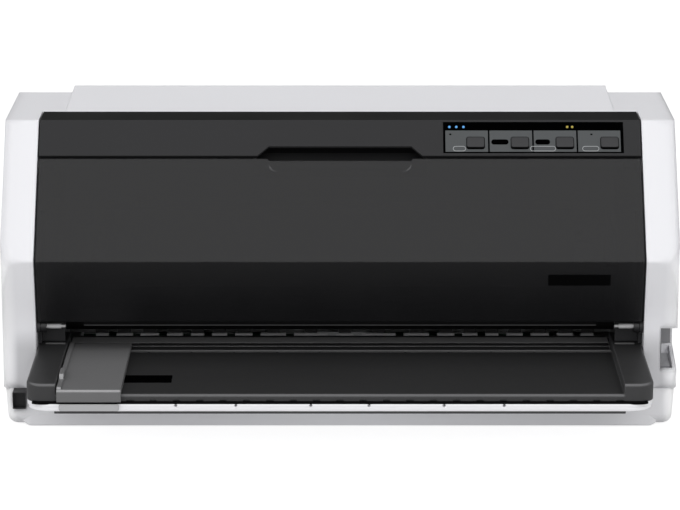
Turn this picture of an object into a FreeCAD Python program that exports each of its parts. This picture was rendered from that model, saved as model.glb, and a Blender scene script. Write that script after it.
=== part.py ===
import FreeCAD
import Part
import math
import os

# Flatbed impact printer with a hinged smoked front cover. Millimetres.
# +X right, +Y back, +Z up, origin at the middle of the box's underside.

V = FreeCAD.Vector

# Overall size and general values
width = 480.0
depth = 370.0
height = 213.0
wall = 3.0
slack = 0.3
shaft_slack = 0.06
over = 6.0
half_w = width / 2
back_y = depth / 2

# Upper case: side outline and towers
tower_w = 24.0
wedge_h = 6.0
top_z = height - wedge_h
seam_z = 25.0
face_y = -93.0
flare_z = 55.0
flare_y = -97.5
knee_z = 76.0
crease_y = -101.3
crease_z = 119.0
brow_y = -36.0
shoulder_y = 65.0
rear_fall_run = 9.0
rear_fall_y = back_y - rear_fall_run
rear_fall_z = 150.0
rear_top_z = 138.0
case_corner_r = 10.0
case_back_r = 10.0
crease_r = 3.0
brow_r = 2.5
knee_r = 90.0
shoulder_r = 8.0
wedge_inset = 40.0
wedge_half = half_w - wedge_inset
wedge_taper = 2.0
wedge_y0 = -6.0
wedge_y1 = 60.0
inner_wall_back_y = 58.0
opening_half = half_w - tower_w
frame_inset = 16.0
frame_x = opening_half - frame_inset

# Lower case
base_top_inset = 1.0
base_half_top = half_w - base_top_inset
base_low_inset = 4.0
base_half_low = half_w - base_low_inset
base_front_top = -99.0
base_front_low = -110.0
base_round = 5.0
foot_h = 1.2
foot_r = 9.0
foot_inset = 28.0
foot_x = half_w - foot_inset
foot_front_y = -78.0
foot_back_inset = 25.0
foot_back_y = back_y - foot_back_inset
rear_slot_inset = 11.0
rear_slot_half = opening_half - rear_slot_inset
rear_sill_z = 41.0
rear_slot_top_z = 62.0
side_recess_rim = 7.5
side_recess_x0 = side_recess_rim - half_w
side_recess_w = 9.5
side_recess_x1 = side_recess_x0 + side_recess_w
side_recess_z0 = 12.3

# Screws and posts
post_r = 5.0
screw_r = 1.5
screw_head_r = 3.4
screw_head_h = 2.0
screw_hole_r = 1.6
case_post_inset = 11.0
case_post_x = half_w - case_post_inset
case_post_front_y = -38.0
case_post_back_inset = 20.0
case_post_back_y = back_y - case_post_back_inset
case_post_top_z = 40.0
screw_bite = 8.0

# Top bar and control panel; s runs down the slope from the brow, depth runs inwards
bar_gap = 1.0
bar_half = opening_half - bar_gap
bar_back_y = -6.6
bar_t = 3.0
bar_s1 = 27.9
bar_lip = 12.0
recess_half = 59.4
recess_top_half = 51.0
recess_s0 = 20.6
pocket_half = 60.0
pocket_s0 = 19.5
pocket_s1 = 36.0
pocket_depth = 14.0
pocket_t = 1.5
panel_w = 128.6
panel_inset = 12.4
panel_x0 = bar_half - panel_inset - panel_w
panel_x1 = panel_x0 + panel_w
panel_s0 = 1.7
panel_s1 = 25.7
panel_seat = 1.2
panel_proud = 0.2
tile_inset = 1.4
tile_x0 = panel_x0 + tile_inset
tile_w = 30.4
tile_pitch = 31.6
tile_s0 = 8.4
tile_s1 = 25.0
tile_t = 0.7
button_runs = [22.2, 54.3, 87.2, 118.3]
button_xs = [panel_x0 + run for run in button_runs]
button_w = 13.6
button_h = 9.6
button_s = 17.4
button_proud = 1.5
button_corner_r = 1.2
button_len = 5.6
button_flange = 1.2
button_flange_t = 1.0
button_travel = 1.2
lamp_r = 0.9
lamp_s = 5.6
lamp_len = 4.0
blue_runs = [4.3, 9.3, 14.4]
blue_xs = [panel_x0 + run for run in blue_runs]
amber_runs = [88.7, 92.3]
amber_xs = [panel_x0 + run for run in amber_runs]
board_depth = 8.6
board_t = 1.6
board_inset = 6.0
board_x0 = panel_x0 + board_inset
board_w = 118.0
board_x1 = board_x0 + board_w
board_s0 = 5.0
board_s1 = 23.5
key_w = 6.0
key_gap = 0.3
pillar_r = 2.2
pillar_runs = [38.2, 102.8]
pillar_xs = [panel_x0 + run for run in pillar_runs]
pillar_in = 3.4

# Front cover
cover_gap = 1.5
cover_half = opening_half - cover_gap
cover_t = 2.5
cover_s0 = 30.3
cover_notch_half = 50.4
cover_notch_drop = 1.6
cover_low_y = -92.5
cover_low_z = 72.5
axis_y = -87.0
axis_z = 68.0
pin_r = 1.75
pin_inset = 15.9
pin_x0 = cover_half - pin_inset
pin_nose_len = 3.2
pin_nose_x0 = pin_x0 - pin_nose_len
pin_nose_r = 1.0
arm_inset = 2.1
arm_w = 3.4
arm_x0 = cover_half - arm_inset - arm_w
arm_x1 = arm_x0 + arm_w
arm_depth = 8.0
arm_rise = 31.0
arm_top_z = crease_z + arm_rise
boss_r = 4.6
boss_out = 0.5
label_inset = 67.5
label_x0 = cover_half - label_inset
label_w = 44.0
label_x1 = label_x0 + label_w
label_z0 = 101.0
label_z1 = 109.0
label_t = 0.5

# Inner cheeks behind the cover
cheek_gap = 0.3
cheek_t = 2.5
cheek_setback = 4.5
cheek_drop = 35.0
cheek_top_z = top_z - cheek_drop
cheek_low_z = 53.3
cheek_front_y = -81.0
band_setback = 18.0
band_t = 2.0
band_w = 19.0
band_in_x = opening_half - band_w
band_low_z = 53.4
stop_w = 9.0
stop_inset = 2.0
stop_x0 = band_in_x + stop_inset
stop_x1 = stop_x0 + stop_w
stop_h = 8.0
stop_drop = 41.0
stop_z0 = top_z - stop_drop - stop_h
stop_z1 = stop_z0 + stop_h

# Front tray, tray shell and edge guide
tray_gap = 0.4
tray_half = opening_half - tray_gap
tray_back_y = -75.0
tray_block_back_y = -50.0
tray_floor_z = 45.7
tray_low_z = 40.3
tray_top_z = 53.0
tray_block_w = 20.6
tray_block_in = tray_half - tray_block_w
tray_corner_r = 11.0
tray_wall = 2.5
tray_edge_r = 1.6
notch_pitch = 16.0
notch_w = 5.0
notch_h = 1.4
notch_depth = 1.2
notch_over = 1.0
notch_half_span = tray_block_in + notch_over
shell_low_z = 34.9
guide_overhang = 2.3
shell_front_y = guide_overhang - depth / 2
tray_setback = 2.0
tray_front_y = shell_front_y + tray_setback
shell_corner_r = 17.0
shell_half = opening_half - tray_gap
shell_t = 2.0
shell_rim = 4.0
shell_edge_r = 1.9
shell_back_y = -95.6
dot_r = 1.0
dot_z = 38.4
dot_depth = 3.0
dot_xs = [20.0, 71.3, 112.5]
guide_inset = 21.6
guide_x0 = guide_inset - tray_half
guide_w = 44.0
guide_x1 = guide_x0 + guide_w
guide_fence_t = 3.2
guide_back_y = -69.0
guide_front_y = -depth / 2
guide_floor_z = 46.0
guide_top_z = 50.0
guide_fence_z = 51.4
guide_tab_z = 54.4
guide_tab_y0 = -163.0
guide_tab_y1 = -143.0
guide_tab_slope = 2.5
guide_skin = 1.8
guide_skirt_low_z = 41.4
guide_skirt_t = 2.2
guide_edge_r = 1.4

# Paper path
path_half = tray_block_in - slack
guide_t = 3.0
lower_guide_y0 = -74.4
lower_guide_y1 = -38.5
lower_groove_y0 = -71.5
lower_groove_y1 = -53.0
lower_groove_depth = 1.6
lower_rib_y0 = -62.0
lower_rib_y1 = -59.0
upper_guide_y0 = -38.0
upper_guide_y1 = -13.0
upper_guide_z = 50.5
upper_guide_h = 5.2
upper_guide_lead = 4.0
rear_guide_y0 = 60.0
rear_guide_inset = 82.0
rear_guide_y1 = back_y - rear_guide_inset
feed_r = 8.0
feed_axis_z = 38.2
feed_core_r = 4.0
front_feed_y = -29.0
rear_feed_y = 50.0
roller_gap = 6.0
roller_mid_x = 3.5
roller_end_inset = 18.0
roller_end = frame_x - roller_end_inset
roller_gap_shares = [0.0511, 0.2203, 0.3549, 0.4571, 0.5495, 0.6341, 0.7313, 0.8368, 0.9341]
roller_gap_xs = [roller_end * share for share in roller_gap_shares]
pinch_r = 4.6
pinch_core_r = 2.0
pinch_gap = 0.4
pinch_width = 9.0
platen_half_d = 6.0
platen_top_z = 45.4
platen_h = 5.0

# Chassis and side frames
chassis_z = 9.0
chassis_t = 1.5
chassis_tuck = 5.0
chassis_half = opening_half + chassis_tuck
chassis_y0 = -92.5
chassis_back_inset = 13.0
chassis_y1 = back_y - chassis_back_inset
chassis_flange_t = 1.5
chassis_flange_half = chassis_half + chassis_tuck
ear_lap = 2.0
ear_x0 = chassis_half - ear_lap
ear_w = 13.0
ear_x1 = ear_x0 + ear_w
ear_y = -86.0
ear_foot = 6.0
chassis_flange_z = 23.5
frame_t = 2.0
frame_y0 = -47.0
frame_back_inset = 27.0
frame_y1 = back_y - frame_back_inset
frame_top_z = 118.0
frame_foot = 10.0
frame_slope_y = 62.0
frame_back_z = 62.0
boss_inset = 20.0
boss_xs = [boss_inset - frame_x, 0.0, frame_x - boss_inset]
boss_ys = [-60.0, 60.0]

# Carriage drive
shaft_y = 25.0
shaft_z = 75.0
shaft_r = 5.0
carriage_half = 25.0
carriage_y0 = -10.0
carriage_y1 = 36.0
carriage_z0 = 62.0
carriage_z1 = 92.0
head_half = 16.0
head_y0 = -9.4
head_y1 = 12.0
head_z0 = 56.0
head_z1 = 100.0
nose_half = 6.0
nose_y = 5.0
nose_z = 48.2
fin_t = 1.6
fin_pitch = 4.0
fin_h = 16.0
fin_count = 7
beam_y = 62.0
beam_t = 2.0
beam_z0 = 66.0
beam_z1 = 112.0
beam_ledge_y0 = 44.0
beam_ledge_z = 108.0
pulley_y = 50.0
pulley_inset = 28.0
pulley_x = frame_x - pulley_inset
pulley_r = 9.0
pulley_h = 7.0
pulley_z0 = 97.0
pulley_bore_r = 2.0
belt_t = 1.4
belt_gap = 0.3
belt_h = 5.0
motor_r = 17.0
motor_z0 = 62.0
motor_z1 = 94.0
motor_shaft_top = 103.0
bracket_t = 2.0

# Ribbon cartridge
ribbon_inset = 32.0
ribbon_half = frame_x - ribbon_inset
ribbon_y0 = -62.0
ribbon_y1 = -38.0
ribbon_h = 55.5
ribbon_headroom = 59.5
ribbon_z1 = top_z - ribbon_headroom
ribbon_z0 = ribbon_z1 - ribbon_h
ribbon_arm_w = 14.0
ribbon_arm_gap = 8.0
ribbon_arm_x0 = frame_x - ribbon_arm_gap - ribbon_arm_w
ribbon_arm_x1 = ribbon_arm_x0 + ribbon_arm_w
ribbon_arm_h = 12.0
ribbon_arm_z1 = ribbon_z0 + ribbon_arm_h
ribbon_arm_low_z = 56.0
ribbon_arm_y1 = 4.0
ribbon_arm_drop = 12.0
ribbon_round = 4.0
ribbon_tab_gap = 0.1
ribbon_tab_x1 = frame_x - ribbon_tab_gap
ribbon_tab_rise = 2.0
ribbon_tab_h = 6.0
ribbon_tab_z0 = ribbon_z0 + ribbon_tab_rise
ribbon_tab_z1 = ribbon_tab_z0 + ribbon_tab_h
knob_inset = 28.0
knob_x = knob_inset - ribbon_half
knob_y = -50.0
knob_r = 8.0
knob_h = 6.0
knob_stem_r = 2.5
knob_stem = 10.0
knob_flutes = 12
knob_flute_r = 1.2

# Feed drive on the right side frame
feed_belt_gap = 2.0
feed_belt_x0 = frame_x + frame_t + feed_belt_gap
feed_belt_w = 5.0
feed_pulley_r = 9.0
motor_pulley_r = 6.0
feed_motor_y = 12.0
feed_motor_z = 27.0
feed_motor_r = 13.5
feed_motor_len = 40.0
feed_motor_shaft_r = 2.0

# Push tractors
tractor_shaft_run = 65.0
tractor_shaft_y = back_y - tractor_shaft_run
tractor_shaft_z = 38.2
tractor_shaft_r = 4.0
tractor_rod_run = 39.0
tractor_rod_y = back_y - tractor_rod_run
tractor_rod_r = 3.0
tractor_inset = 16.0
tractor_x1 = frame_x - tractor_inset
tractor_w = 20.0
tractor_l = 52.5
tractor_y0 = frame_y1 - tractor_l
tractor_y1 = tractor_y0 + tractor_l
tractor_z0 = 30.5
tractor_z1 = 46.4
tractor_pin_r = 1.4
tractor_pin_h = 1.5
tractor_pin_pitch = 12.7
tractor_pins = 3
tractor_slide_slack = 0.1
lid_t = 2.0
lid_z0 = 48.6
lid_barrel_r = 1.8
lid_pin_r = 0.8
lid_margin = 4.0
lid_ear_t = 2.0

# Boards and connectors
board_z = 16.0
pcb_t = 1.6
standoff_r = 2.5
board_back_inset = 19.0
board_l = 98.0
board_y0 = back_y - board_back_inset - board_l
main_inset = 4.0
main_x0 = main_inset - frame_x
main_x1 = -20.0
supply_x0 = 20.0
supply_x1 = frame_x - main_inset
part_h = 9.0
part_w = 22.0
part_gap = 12.0
port_z0 = 17.6
port_l = 25.0
port_y0 = back_y - port_l
parallel_run = 26.0
parallel_x0 = main_x0 + parallel_run
parallel_w = 55.0
parallel_h = 15.0
serial_run = 70.0
serial_x0 = parallel_x0 + serial_run
serial_w = 31.0
serial_h = 12.5
usb_run = 118.0
usb_x0 = parallel_x0 + usb_run
usb_w = 12.0
usb_h = 11.0
port_rim = 1.5
port_seat = 14.0
port_well = 8.0
inlet_run = 46.0
inlet_x = supply_x1 - inlet_run
inlet_w = 27.0
inlet_h = 19.0
inlet_z0 = 18.0
inlet_well = 16.0
inlet_len = 26.0
blade_w = 4.0
blade_t = 2.0
blade_len = 12.0
blade_pitch = 7.0

# Power switch recess in the right tower
well_w = 12.0
well_x0 = half_w - well_w
well_back_y = -57.0
well_top_z = 68.0
well_rim_back_z = 47.0
well_rim_front_z = 37.0
well_wall = 2.5
well_deep = 4.0
well_side_t = 2.6
rocker_w = 6.4
rocker_l = 20.0
rocker_t = 5.0
rocker_up = 1.6
rocker_tilt = 7.0
rocker_gap = 0.6
rocker_side_gap = 0.3
pivot_r = 0.6
switch_wall = 0.8
switch_end = 1.2
switch_deep = 5.0

# Rear cover, in the frame of the rear slope: t runs down it, depth runs inwards
lid_hole_half = opening_half - frame_inset
lid_head = 10.0
lid_foot = 16.8
lid_end = math.hypot(rear_fall_y - shoulder_y, top_z - rear_fall_z) - lid_foot
lid_gap = 0.6
lid_half = lid_hole_half - lid_gap
rear_axis_t = 12.6
rear_axis_depth = 2.0
rear_barrel_r = 2.0
rear_pin_r = 1.0
rear_pin_in = 7.0
rear_pin_x0 = lid_hole_half - rear_pin_in
rear_pin_out = 6.0
rear_pin_x1 = lid_hole_half + rear_pin_out
rear_lug = 8.0
rear_lug_depth = 5.5
rear_plate_t = 2.4
finger_half = 20.0
finger_w = 5.0
seat_lip = 4.0


def parallel(points, gap):
    """The open line of points moved to its left by gap, with mitred corners."""
    moved = []
    last = len(points[1:])
    for i, (a, b) in enumerate(points):
        dirs = []
        for j in (i - 1, i):
            if 0 <= j < last:
                da = points[j + 1][0] - points[j][0]
                db = points[j + 1][1] - points[j][1]
                size = math.hypot(da, db)
                dirs.append((-db / size, da / size))
        na = sum(n[0] for n in dirs) / len(dirs)
        nb = sum(n[1] for n in dirs) / len(dirs)
        square = na * na + nb * nb
        moved.append((a + gap * na / square, b + gap * nb / square))
    return moved


def band(points, thick):
    """Closed outline of a strip of even thickness on the left of a line."""
    return list(points) + parallel(points, thick)[::-1]


def face_of(axis, points, start):
    """Flat face square to an axis; a point is (a, b) or (a, b, corner radius)."""
    def place(a, b):
        return {"x": V(start, a, b), "y": V(a, start, b), "z": V(a, b, start)}[axis]

    runs = []
    count = len(points)
    for i in range(count):
        cur = V(points[i][0], points[i][1], 0)
        r = points[i][2] if len(points[i]) > 2 else 0
        if r == 0:
            runs.append((cur, None, cur))
            continue
        to_prev = V(points[i - 1][0], points[i - 1][1], 0) - cur
        after = points[(i + 1) % count]
        to_next = V(after[0], after[1], 0) - cur
        to_prev.normalize()
        to_next.normalize()
        half = to_prev.getAngle(to_next) / 2
        middle = to_prev + to_next
        middle.normalize()
        reach = r / math.tan(half)
        centre = cur + middle * (r / math.sin(half))
        runs.append((cur + to_prev * reach, centre - middle * r, cur + to_next * reach))
    edges = []
    for i in range(count):
        first, mid, last = runs[i]
        if mid is not None:
            edges.append(Part.Arc(place(first.x, first.y), place(mid.x, mid.y),
                                  place(last.x, last.y)).toShape())
        nxt = runs[(i + 1) % count][0]
        edges.append(Part.makeLine(place(last.x, last.y), place(nxt.x, nxt.y)))
    return Part.Face(Part.Wire(edges))


def prism(axis, points, start, end):
    """Solid with an outline square to an axis, from start to end along it."""
    run = end - start
    step = {"x": V(run, 0, 0), "y": V(0, run, 0), "z": V(0, 0, run)}[axis]
    return face_of(axis, points, start).extrude(step)


def box(x0, x1, y0, y1, z0, z1):
    return Part.makeBox(x1 - x0, y1 - y0, z1 - z0, V(x0, y0, z0))


def rod(axis, a, b, start, end, r):
    """Round bar along an axis; a and b are its centre in the other two axes."""
    base = {"x": V(start, a, b), "y": V(a, start, b), "z": V(a, b, start)}[axis]
    way = {"x": V(1, 0, 0), "y": V(0, 1, 0), "z": V(0, 0, 1)}[axis]
    return Part.makeCylinder(r, end - start, base, way)


def rect(x0, x1, y0, y1, front_r, back_r):
    """Plan outline with rounded front and back corners."""
    return [(x0, y0, front_r), (x1, y0, front_r), (x1, y1, back_r), (x0, y1, back_r)]


def fuse(shapes):
    whole = shapes[0]
    if len(shapes) > 1:
        whole = whole.multiFuse(shapes[1:])
    return whole.removeSplitter()


def mirrored(shape):
    return shape.mirror(V(0, 0, 0), V(1, 0, 0))


def both(shape):
    """A piece and its mirror image, as two separate solids."""
    return Part.Compound([shape, mirrored(shape)])


def slope_at(z):
    """Y of the front slope at a height."""
    return brow_y + (top_z - z) * (crease_y - brow_y) / (top_z - crease_z)


def behind_slope(z, gap):
    """Y at a height on the line that lies gap behind the front slope."""
    run = math.hypot(crease_y - brow_y, crease_z - top_z)
    return slope_at(z) + gap * run / (top_z - crease_z)


def slope_point(s, depth_in):
    """Point (y, z) at s down the front slope and depth_in behind it."""
    run = math.hypot(crease_y - brow_y, crease_z - top_z)
    dy = (crease_y - brow_y) / run
    dz = (crease_z - top_z) / run
    return (brow_y + s * dy - depth_in * dz, top_z + s * dz + depth_in * dy)


def on_slope(shape):
    """Turns a piece drawn in x, s and depth onto the front slope."""
    angle = math.degrees(math.atan2(crease_z - top_z, crease_y - brow_y))
    shape.rotate(V(0, 0, 0), V(1, 0, 0), angle)
    shape.translate(V(0, brow_y, top_z))
    return shape


def on_rear(shape):
    """Turns a piece drawn in x, t and depth onto the rear slope, where depth runs down and in."""
    angle = math.degrees(math.atan2(rear_fall_z - top_z, rear_fall_y - shoulder_y))
    shape.rotate(V(0, 0, 0), V(1, 0, 0), angle)
    shape.translate(V(0, shoulder_y, top_z))
    return shape


def loop_face(axis, circles, start, grow):
    """Face inside a belt that runs round circles (a, b, r), given counterclockwise."""
    def place(a, b):
        return {"x": V(start, a, b), "z": V(a, b, start)}[axis]

    leave = []
    arrive = []
    count = len(circles)
    for i in range(count):
        a0, b0, r0 = circles[i]
        a1, b1, r1 = circles[(i + 1) % count]
        gap = math.hypot(a1 - a0, b1 - b0)
        way = math.atan2(b1 - b0, a1 - a0)
        lean = math.acos((r0 - r1) / gap)
        angle = way - lean
        leave.append((angle, r0 + grow, a0, b0))
        arrive.append((angle, r1 + grow, a1, b1))
    edges = []
    for i in range(count):
        angle0, r, a, b = arrive[i - 1]
        angle1 = leave[i][0]
        while angle1 < angle0:
            angle1 += 2 * math.pi
        points = []
        for t in (angle0, (angle0 + angle1) / 2, angle1):
            points.append(place(a + r * math.cos(t), b + r * math.sin(t)))
        edges.append(Part.Arc(*points).toShape())
        angle2, r2, a2, b2 = arrive[i]
        far = place(a2 + r2 * math.cos(angle2), b2 + r2 * math.sin(angle2))
        edges.append(Part.makeLine(points[2], far))
    return Part.Face(Part.Wire(edges))


def belt(axis, circles, start, end):
    """Flat belt of the belt thickness that runs belt_gap outside its pulleys."""
    run = end - start
    step = {"x": V(run, 0, 0), "z": V(0, 0, run)}[axis]
    outer = loop_face(axis, circles, start, belt_gap + belt_t).extrude(step)
    return outer.cut(loop_face(axis, circles, start, belt_gap).extrude(step))


def case_outline(low_z):
    """Side outline of the upper case, from its front foot clockwise to its back foot."""
    return [
        (flare_y, low_z), (back_y, low_z), (back_y, rear_top_z, shoulder_r),
        (rear_fall_y, rear_fall_z, shoulder_r), (shoulder_y, top_z, shoulder_r),
        (brow_y, top_z, brow_r), (crease_y, crease_z, crease_r),
        (face_y, knee_z, knee_r), (face_y, flare_z, knee_r),
    ]


def cover_line():
    """Outer line of the front cover, from its top edge down."""
    return [slope_point(cover_s0, 0), (crease_y, crease_z), (cover_low_y, cover_low_z)]


def upper_case():
    outer = prism("x", case_outline(seam_z), -half_w, half_w)
    plan = rect(-half_w, half_w, crease_y, back_y, case_corner_r, case_back_r)
    outer = outer.common(prism("z", plan, 0, height))
    ridge = [(wedge_y0, top_z - wall), (wedge_y0, top_z), (wedge_y1, height),
             (wedge_y1 + wedge_h, top_z - wall)]
    ends = [(-wedge_half, top_z - wall), (wedge_half, top_z - wall),
            (wedge_half - wedge_taper, height), (wedge_taper - wedge_half, height)]
    wedge = prism("x", ridge, -wedge_half, wedge_half)
    wedge = wedge.common(prism("y", ends, wedge_y0, wedge_y1 + wedge_h))

    flat = [(p[0], p[1]) for p in case_outline(seam_z - over)]
    inside = Part.Face(Part.makePolygon([V(wall - half_w, a, b) for a, b in flat + flat[:1]]))
    inside = inside.makeOffset2D(-wall).extrude(V(2 * (half_w - wall), 0, 0))
    inner_plan = rect(wall - half_w, half_w - wall, crease_y + wall, back_y - wall,
                      case_corner_r - wall, case_back_r - wall)
    inside = inside.common(prism("z", inner_plan, 0, height))

    keep = [box(opening_half, opening_half + wall, crease_y - over, inner_wall_back_y,
                0, height)]
    keep.append(mirrored(keep[0]))
    keep.append(box(-opening_half - wall, opening_half + wall, bar_back_y,
                    bar_back_y + wall, top_z - bar_lip, top_z))
    keep.append(prism("x", well_block(), well_x0 - well_wall, half_w))
    post = box(case_post_x, half_w - wall + slack, case_post_front_y - screw_r,
               case_post_front_y + screw_r, seam_z, case_post_top_z)
    for y in (case_post_front_y, case_post_back_y):
        stem = rod("z", case_post_x, y, seam_z, case_post_top_z, post_r)
        rib = post.copy()
        rib.translate(V(0, y - case_post_front_y, 0))
        stem = fuse([stem, rib])
        stem = stem.cut(rod("z", case_post_x, y, seam_z - over, seam_z + screw_bite + wall,
                            screw_r + shaft_slack))
        keep += [stem, mirrored(stem)]
    for shape in keep:
        inside = inside.cut(shape)
    drills = []
    for y in (case_post_front_y, case_post_back_y):
        drill = rod("z", case_post_x, y, seam_z - over, seam_z + screw_bite + wall,
                    screw_r + shaft_slack)
        drills += [drill, mirrored(drill)]

    shell = outer.cut(inside)
    front = box(-opening_half, opening_half, crease_y - over, bar_back_y, 0, height)
    under = box(-opening_half, opening_half, bar_back_y - over, inner_wall_back_y,
                0, top_z - bar_lip)
    shell = shell.cut(front).cut(under).fuse(wedge)
    gap = slack
    shell = shell.cut(box(-rear_slot_half - gap, rear_slot_half + gap, back_y - wall - over,
                          back_y + over, 0, rear_slot_top_z))
    hatch = box(-lid_hole_half, lid_hole_half, lid_head, lid_end + lid_gap, -wall - over, over)
    shell = shell.cut(on_rear(hatch))
    shell = shell.cut(prism("x", well_open(), well_x0, half_w + over))
    shell = shell.cut(prism("x", well_pocket(), well_x0 + well_wall - well_side_t,
                            half_w - well_side_t))
    shell = shell.cut(switch_hole())
    pin_hole = rod("x", axis_y, axis_z, opening_half - over, opening_half + wall + over,
                   pin_r + shaft_slack)
    shell = shell.cut(pin_hole).cut(mirrored(pin_hole))
    lugs = rear_lugs()
    shell = fuse([shell, lugs, mirrored(lugs)])
    rear_hole = on_rear(rod("x", rear_axis_t, -rear_axis_depth, lid_hole_half - over,
                            rear_pin_x1 + slack, rear_pin_r + shaft_slack))
    shell = shell.cut(rear_hole).cut(mirrored(rear_hole))
    for drill in drills:
        shell = shell.cut(drill)
    return shell


def rim_z(y):
    """Height of the power switch recess's rim at y."""
    share = (y - well_back_y) / (face_y - well_back_y)
    return well_rim_back_z + share * (well_rim_front_z - well_rim_back_z)


def well_block():
    """Side outline of the walls round the power switch recess."""
    back = well_back_y + well_wall
    front = crease_y - over
    low = well_deep + 2 * well_wall
    return [(front, rim_z(front) - low), (back, rim_z(back) - low),
            (back, well_top_z + well_wall), (front, well_top_z + well_wall)]


def well_open():
    front = crease_y - over
    return [(front, rim_z(front)), (well_back_y, rim_z(well_back_y)),
            (well_back_y, well_top_z), (front, well_top_z)]


def well_pocket():
    front = face_y + wall
    back = well_back_y - wall
    return [(front, rim_z(front) - well_deep), (back, rim_z(back) - well_deep),
            (back, rim_z(back) + over), (front, rim_z(front) + over)]


def rocker_mid():
    """Centre (x, y, z) of the rocker, on the recess's floor."""
    y = (face_y + well_back_y) / 2
    x = (well_x0 + half_w - well_side_t) / 2
    return x, y, rim_z(y) - well_deep


def on_well(shape):
    """Turns a piece drawn about the origin onto the sloping floor of the recess."""
    x, y, z = rocker_mid()
    angle = math.degrees(math.atan2(well_rim_back_z - well_rim_front_z, well_back_y - face_y))
    shape.rotate(V(0, 0, 0), V(1, 0, 0), angle)
    shape.translate(V(x, y, z))
    return shape


def switch_half():
    """Half width and half length of the switch's housing."""
    return (rocker_w / 2 + rocker_side_gap + switch_wall,
            rocker_l / 2 + rocker_gap + switch_end)


def switch_hole():
    w, length = switch_half()
    return on_well(box(-w - slack / 2, w + slack / 2, -length - slack / 2,
                       length + slack / 2, -well_wall - over, over))


def power_rocker():
    """Rocker at rest on its off side, with its pivot."""
    w = rocker_w / 2
    half = rocker_l / 2
    side = [(-half, -rocker_t / 2), (half, -rocker_t / 2), (half, rocker_up),
            (0, rocker_up - rocker_t / 4), (-half, rocker_up)]
    pivot = rod("x", 0, -rocker_t / 4, -w - rocker_side_gap - switch_wall / 2,
                w + rocker_side_gap + switch_wall / 2, pivot_r)
    body = fuse([prism("x", side, -w, w), pivot])
    body.rotate(V(0, 0, -rocker_t / 4), V(1, 0, 0), -rocker_tilt)
    return on_well(body)


def power_switch():
    w, length = switch_half()
    low = -well_wall - switch_deep
    outer = box(-w, w, -length, length, low, 0)
    inner = box(switch_wall - w, w - switch_wall, switch_end - length, length - switch_end,
                low + switch_wall, over)
    pivot = rod("x", 0, -rocker_t / 4, -w, w, pivot_r + shaft_slack)
    return on_well(outer.cut(inner).cut(pivot))


def base_plan(inset, half, front):
    return rect(inset - half, half - inset, front + inset, back_y - inset,
                case_corner_r - inset, case_back_r - inset)


def base_block(inset, low_z):
    """Block between the base's two plan outlines, moved in by inset, from low_z up."""
    share = (low_z - foot_h) / (seam_z - foot_h)
    half = base_half_low + share * (base_half_top - base_half_low)
    front = base_front_low + share * (base_front_top - base_front_low)
    low = face_of("z", base_plan(inset, half, front), low_z).OuterWire
    top = face_of("z", base_plan(inset, base_half_top, base_front_top), seam_z).OuterWire
    return Part.makeLoft([low, top], True, True)


def lower_case():
    shell = base_block(0, foot_h)
    low_edges = [e for e in shell.Edges if abs(e.BoundBox.ZMax - foot_h) < shaft_slack]
    shell = shell.makeFillet(base_round, low_edges)
    shell = shell.cut(base_block(wall, foot_h + wall))
    sill = box(-rear_slot_half, rear_slot_half, back_y - wall, back_y, seam_z - wall,
               rear_sill_z)
    front = box(-rear_slot_half, rear_slot_half, base_front_top, base_front_top + wall,
                seam_z - wall, shell_low_z)
    parts = [shell, sill, front]
    for x in boss_xs:
        for y in boss_ys:
            parts.append(rod("z", x, y, foot_h + wall - slack, chassis_z, post_r))
    for x in (-case_post_x, case_post_x):
        for y in (case_post_front_y, case_post_back_y):
            parts.append(rod("z", x, y, foot_h + wall - slack, seam_z, post_r))
    whole = fuse(parts)
    for x in boss_xs:
        for y in boss_ys:
            whole = whole.cut(rod("z", x, y, foot_h + wall, chassis_z + over,
                                  screw_r + shaft_slack))
    for x in (-case_post_x, case_post_x):
        for y in (case_post_front_y, case_post_back_y):
            whole = whole.cut(rod("z", x, y, 0, seam_z + over, screw_hole_r))
            whole = whole.cut(rod("z", x, y, 0, foot_h + screw_head_h, screw_head_r + slack))
    recess = box(side_recess_x0, side_recess_x1, base_front_low - over,
                 base_front_top + 2 * wall, side_recess_z0, seam_z + over)
    whole = whole.cut(recess)
    for x0, w, z0, h in ports():
        whole = whole.cut(box(x0 - slack, x0 + w + slack, back_y - wall - over, back_y + over,
                              z0 - slack, z0 + h + slack))
    return whole


def rubber_feet():
    feet = []
    for x in (-foot_x, foot_x):
        for y in (foot_front_y, foot_back_y):
            feet.append(rod("z", x, y, 0, foot_h, foot_r))
    return Part.Compound(feet)


def chassis():
    plate = box(-chassis_half, chassis_half, chassis_y0, chassis_y1, chassis_z,
                chassis_z + chassis_t)
    lip = box(-chassis_flange_half, chassis_flange_half, chassis_y0,
              chassis_y0 + chassis_flange_t, chassis_z, chassis_flange_z)
    foot = box(ear_x0, ear_x1, ear_y, ear_y + ear_foot, chassis_z, chassis_z + chassis_t)
    ear = fuse([foot, box(ear_x0, ear_x1, ear_y, ear_y + chassis_flange_t, chassis_z,
                          chassis_flange_z)])
    whole = fuse([plate, lip, ear, mirrored(ear)])
    for x in boss_xs:
        for y in boss_ys:
            whole = whole.cut(rod("z", x, y, 0, chassis_flange_z, screw_hole_r))
    return whole


def screws():
    """Chassis screws from above and case screws from below, each with its head."""
    group = []
    top = chassis_z + chassis_t
    for x in boss_xs:
        for y in boss_ys:
            shank = rod("z", x, y, foot_h + wall + slack, top, screw_r)
            group.append(fuse([shank, rod("z", x, y, top, top + screw_head_h, screw_head_r)]))
    for x in (-case_post_x, case_post_x):
        for y in (case_post_front_y, case_post_back_y):
            head = rod("z", x, y, foot_h + slack, foot_h + screw_head_h, screw_head_r)
            shank = rod("z", x, y, foot_h + screw_head_h, seam_z + screw_bite, screw_r)
            group.append(fuse([head, shank]))
    return Part.Compound(group)


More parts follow.
